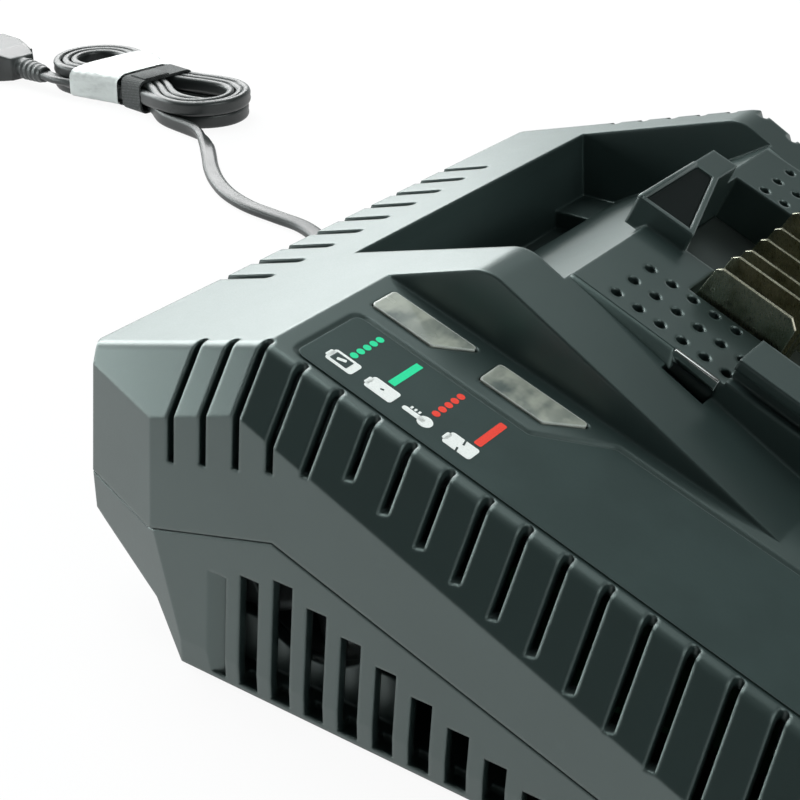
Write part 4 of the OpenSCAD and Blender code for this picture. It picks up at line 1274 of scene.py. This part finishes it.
    @staticmethod
    def through(points: Sequence[Point], step: float) -> np.ndarray:
        """A smooth line through points, evenly spaced.

        Args:
            points: the points.
            step: distance between the points of the result.

        Returns:
            The line as rows of coordinates.
        """
        p = np.array(points, float)
        p = np.vstack([2 * p[0] - p[1], p, 2 * p[-1] - p[-2]])
        fine = []
        for a, b, c, d in zip(p[:-3], p[1:-2], p[2:-1], p[3:]):
            ta, tb, tc = (np.linalg.norm(v) ** 0.5 for v in (b - a, c - b, d - c))
            m1 = tb * ((b - a) / ta - (c - a) / (ta + tb) + (c - b) / tb)
            m2 = tb * ((c - b) / tb - (d - b) / (tb + tc) + (d - c) / tc)
            for t in np.linspace(0, 1, 12, endpoint=False):
                fine.append((2 * t ** 3 - 3 * t ** 2 + 1) * b + (t ** 3 - 2 * t ** 2 + t) * m1
                            + (3 * t ** 2 - 2 * t ** 3) * c + (t ** 3 - t ** 2) * m2)
        fine.append(p[-2])
        line = np.array(fine)
        run = np.concatenate([[0], np.cumsum(np.linalg.norm(np.diff(line, axis=0), axis=1))])
        at = np.linspace(0, run[-1], max(2, int(round(run[-1] / step)) + 1))
        return np.column_stack([np.interp(at, run, line[:, k]) for k in range(3)])

    def centreline(self) -> np.ndarray:
        """The whole centreline, in millimetres of the whole part's frame."""
        frame = self.hank_frame()
        wound = [tuple(v / MM for v in frame @ (Vector(p) * MM)) for p in self.hank_line()]
        return self.through(list(self.route) + wound, self.step)

    def profile(self) -> np.ndarray:
        """Cross-section of the twin lead, across and up, in millimetres."""
        points = []
        for a in np.radians(np.arange(10.0, 360.0, 20.0)):
            x = self.width / 2 * signed_power(math.cos(a), 0.8)
            y = self.thickness / 2 * signed_power(math.sin(a), 0.6)
            points.append((x, y * (1 - (1 - self.waist) * math.exp(-(x / 0.7) ** 2))))
        return np.array(points)

    def tube(self, line: np.ndarray, edgewise: np.ndarray) -> bpy.types.Object:
        """Makes the sheath along a line.

        Args:
            line: the centreline in millimetres.
            edgewise: for each point, 0 where the lead lies flat and 1 where it stands on its edge.

        Returns:
            The sheath.
        """
        ring = self.profile()
        tangent = np.gradient(line, axis=0)
        tangent /= np.linalg.norm(tangent, axis=1)[:, None]
        side = np.column_stack([-tangent[:, 1], tangent[:, 0], np.zeros(len(line))])
        side /= np.linalg.norm(side, axis=1)[:, None]
        up = np.cross(tangent, side)
        turn = edgewise * math.pi / 2
        wide = side * np.cos(turn)[:, None] + up * np.sin(turn)[:, None]
        flat = np.cross(tangent, wide)
        grid = line[:, None, :] + wide[:, None, :] * ring[None, :, :1] + flat[:, None, :] * ring[None, :, 1:]
        made = solid("mains_lead", grid.tolist())
        Bench.smooth(made, 50.0)
        return made

    def tie(self) -> bpy.types.Object:
        """Makes the hook tape that holds the hank."""
        outer = Bench.box("hank_tie", (0, 0, 0), self.tie_size)
        Bench.open_faces(outer, lambda f: abs(f.normal.x) > 0.9)
        Bench.bevel(outer, self.tie_round, 6, 40)
        Bench.modify(outer, "SOLIDIFY", thickness=self.tie_thick * MM, offset=-1.0)
        tail = Bench.box("tie_tail", self.tail_at, self.tail_size)
        Bench.bevel(tail, 0.4, 2)
        made = Bench.join([outer, tail], "hank_tie")
        Bench.carry(made, self.hank_frame() @ shift(self.pinch_x, *self.tie_at))
        Bench.smooth(made)
        Bench.dress(made, HookTape().material("hook_tape"))
        return made

    def wrap(self) -> bpy.types.Object:
        """Makes the creased film sleeve round the strands behind the tie."""
        rings = []
        for x in np.linspace(self.wrap_x[0], self.wrap_x[1], self.wrap_rings):
            near, far = -self.half_width(x, 3) - self.wrap_room, self.half_width(x, 2) + self.wrap_room
            middle, half = (near + far) / 2, (far - near) / 2
            ring = []
            for a in np.linspace(0, 2 * math.pi, self.wrap_sides, endpoint=False):
                y = half * signed_power(math.cos(a), self.wrap_square)
                z = self.wrap_half * signed_power(math.sin(a), self.wrap_square)
                crease = sum(height * math.sin(along * x + around * a + phase)
                             for height, along, around, phase in self.creases)
                grow = 1 + crease * (0.5 + 0.5 * math.sin(a) if z > 0 else 0.1) / half
                ring.append((x + 0.5 * math.sin(3 * a), middle + y * grow, self.wrap_half + 0.35 + z * grow))
            rings.append(ring)
        made = solid("hank_wrap", rings)
        Bench.open_faces(made, lambda f: len(f.vertices) > 4)
        Bench.modify(made, "SOLIDIFY", thickness=self.wrap_thick * MM, offset=-1.0)
        Bench.carry(made, self.hank_frame())
        Bench.smooth(made, 60.0)
        Bench.dress(made, PaleFilm().material("wrap_film"))
        return made

    def plug(self, bare: bpy.types.Object) -> bpy.types.Object:
        """Makes the moulded plug with soft edges, grip ribs and a ringed neck round the bare form.

        Args:
            bare: the plain plug body.

        Returns:
            The finished plug body.
        """
        body = Bench.place("plug_shell", bare.data.copy())
        frame = self.hank_frame() @ shift(*self.plug_at)
        parts = [body]
        for k in range(self.grip_n):
            for side in (-1, 1):
                place = (-self.grip_x - k * self.grip_pitch, side * (self.grip_y + self.grip_flare * k), 0)
                parts.append(Bench.box("grip", place, self.grip_size))
                Bench.carry(parts[-1], frame)
        for k in range(self.neck_n):
            place = (-self.neck_x - self.neck_pitch * k, 0, 0)
            radius = self.neck_r + self.neck_flare * k
            parts.append(Bench.rod("neck_ring", place, radius, self.neck_wide, (0, 90, 0)))
            Bench.carry(parts[-1], frame)
        Bench.on_all(body, bpy.ops.mesh.remove_doubles, threshold=0.01 * MM)
        made = Bench.join(parts, "plug_shell")
        Bench.modify(made, "REMESH", mode="VOXEL", voxel_size=self.voxel * MM)
        Bench.modify(made, "SMOOTH", factor=0.5, iterations=14)
        Bench.smooth(made, 60.0)
        Bench.dress(made, Rubber((0.02, 0.022, 0.022), (0.055, 0.06, 0.06), 0.4).material("plug_vinyl"))
        return made

    def build(self) -> None:
        """Makes the lead with everything on it."""
        line = self.centreline()
        run = np.concatenate([[0], np.cumsum(np.linalg.norm(np.diff(line, axis=0), axis=1))])
        enter = run[np.argmin(np.linalg.norm(line - np.array(self.route[-1]), axis=1))]
        rise = ease(np.clip((run - enter + self.stand_up[0]) / self.stand_up[1], 0, 1))
        leave = ease(np.clip((run[-1] - run - self.lie_down[0]) / self.lie_down[1], 0, 1))
        edgewise = np.minimum(rise, leave)
        turn = edgewise * math.pi / 2
        rest = np.hypot(self.width / 2 * np.sin(turn), self.thickness / 2 * np.cos(turn))
        line[:, 2] = np.maximum(line[:, 2], rest + self.clear)
        sheath = self.tube(line, edgewise)
        vinyl = Rubber((0.018, 0.021, 0.021), (0.05, 0.056, 0.056), 0.4, 1500.0)
        Bench.dress(sheath, vinyl.material("lead_vinyl"))
        tie, wrap, plug = self.tie(), self.wrap(), self.plug(bpy.data.objects["plug_body"])
        Bench.mount(sheath, "cord", ("mains_cord", "cord_hank"))
        Bench.mount(tie, "tie", ("cord_tie",))
        Bench.mount(wrap)
        Bench.mount(plug, "cord", ("plug_body",))
        LOG.info("lead %.3f m", run[-1] * MM)


# ---------------------------------------------------------------- CAD nodes

SHELL = MouldedPlastic()
SINK = SheetMetal((0.72, 0.73, 0.75), (0.5, 0.51, 0.53), 0.35)
SCREW = SheetMetal((0.66, 0.66, 0.64), (0.45, 0.45, 0.43))


@dataclass
class Assembly:
    """Finishes of the nodes that keep their own shape."""

    finishes: Dict[str, Finish] = field(default_factory=lambda: {
        "upper_housing": SHELL,
        "lower_housing": SHELL,
        "label_panel": LabelFilm(),
        "light_window_1": LensPlastic(),
        "light_window_2": LensPlastic(),
        "hood_cover": MouldedPlastic((0.002, 0.004, 0.004), (0.01, 0.014, 0.014), 0.55, ior=1.2),
        "status_board": BoardLaminate(),
        "status_leds": Ink((0.8, 0.8, 0.72)),
        "contact_carrier": MouldedPlastic((0.02, 0.024, 0.022), (0.05, 0.055, 0.05), 0.42),
        "power_blades": SheetMetal((0.66, 0.64, 0.5), (0.38, 0.37, 0.26)),
        "signal_blades": SheetMetal((0.66, 0.64, 0.5), (0.4, 0.39, 0.28)),
        "main_board": BoardLaminate(),
        "transformer_core": MouldedPlastic((0.035, 0.035, 0.038), (0.1, 0.1, 0.1), 0.55, 900.0, 0.00012),
        "transformer_winding": WoundWire((0.75, 0.55, 0.08), (0.5, 0.33, 0.04), 0.0009, "Z", 0.0),
        "front_heat_sink": SINK,
        "rear_heat_sink": SINK,
        "power_transistors": MouldedPlastic((0.02, 0.02, 0.021), (0.1, 0.1, 0.1), 0.5),
        "bulk_capacitors": Rubber((0.015, 0.018, 0.07), (0.04, 0.05, 0.14), 0.3),
        "output_capacitors": Rubber((0.015, 0.07, 0.045), (0.04, 0.12, 0.08), 0.3),
        "choke_core": MouldedPlastic((0.45, 0.42, 0.1), (0.6, 0.56, 0.2), 0.5),
        "choke_winding": WoundWire(),
        "rectifier_bridge": MouldedPlastic((0.018, 0.018, 0.019), (0.08, 0.08, 0.08), 0.5),
        "mains_fuse": Ink((0.75, 0.72, 0.62)),
        "fan_frame": MouldedPlastic((0.03, 0.031, 0.033), (0.08, 0.08, 0.085), 0.42),
        "fan_rotor": MouldedPlastic((0.045, 0.046, 0.05), (0.11, 0.11, 0.115), 0.38),
        "fan_screws": SCREW,
        "cord_clamp": MouldedPlastic((0.05, 0.055, 0.055), (0.1, 0.11, 0.11), 0.45),
        "clamp_screws": SCREW,
        "strain_relief": Rubber(),
        "inner_lead": Rubber((0.03, 0.034, 0.034), (0.085, 0.095, 0.095), 0.38),
        "plug_pins": SheetMetal((0.78, 0.78, 0.76), (0.58, 0.58, 0.56), 0.2),
        "housing_screws": SCREW,
        "board_screws": SCREW,
        "rubber_feet": Rubber(),
    })

    def build(self, nodes: Dict[str, bpy.types.Object]) -> None:
        """Dresses the nodes.

        Args:
            nodes: the CAD nodes by name.
        """
        made: Dict[Finish, bpy.types.Material] = {}
        for name, finish in self.finishes.items():
            if finish not in made:  # equal finishes share the first one's material
                made[finish] = finish.material(f"{name}_finish")
            Bench.dress(nodes[name], made[finish])
            LOG.info("dressed %s", name)


def main(frame: Dict[str, object]) -> None:
    """Builds everything around the loaded frame.
    """
    Bench.clear()
    Studio().build()
    MainsLead().build()
    PrintedPanel().build()
    BayTrim().build()
    Assembly().build(frame["nodes"])


if __name__ == "__main__":
    logging.basicConfig(level=logging.INFO, format="%(name)s: %(message)s")
    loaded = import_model()
    main(loaded)
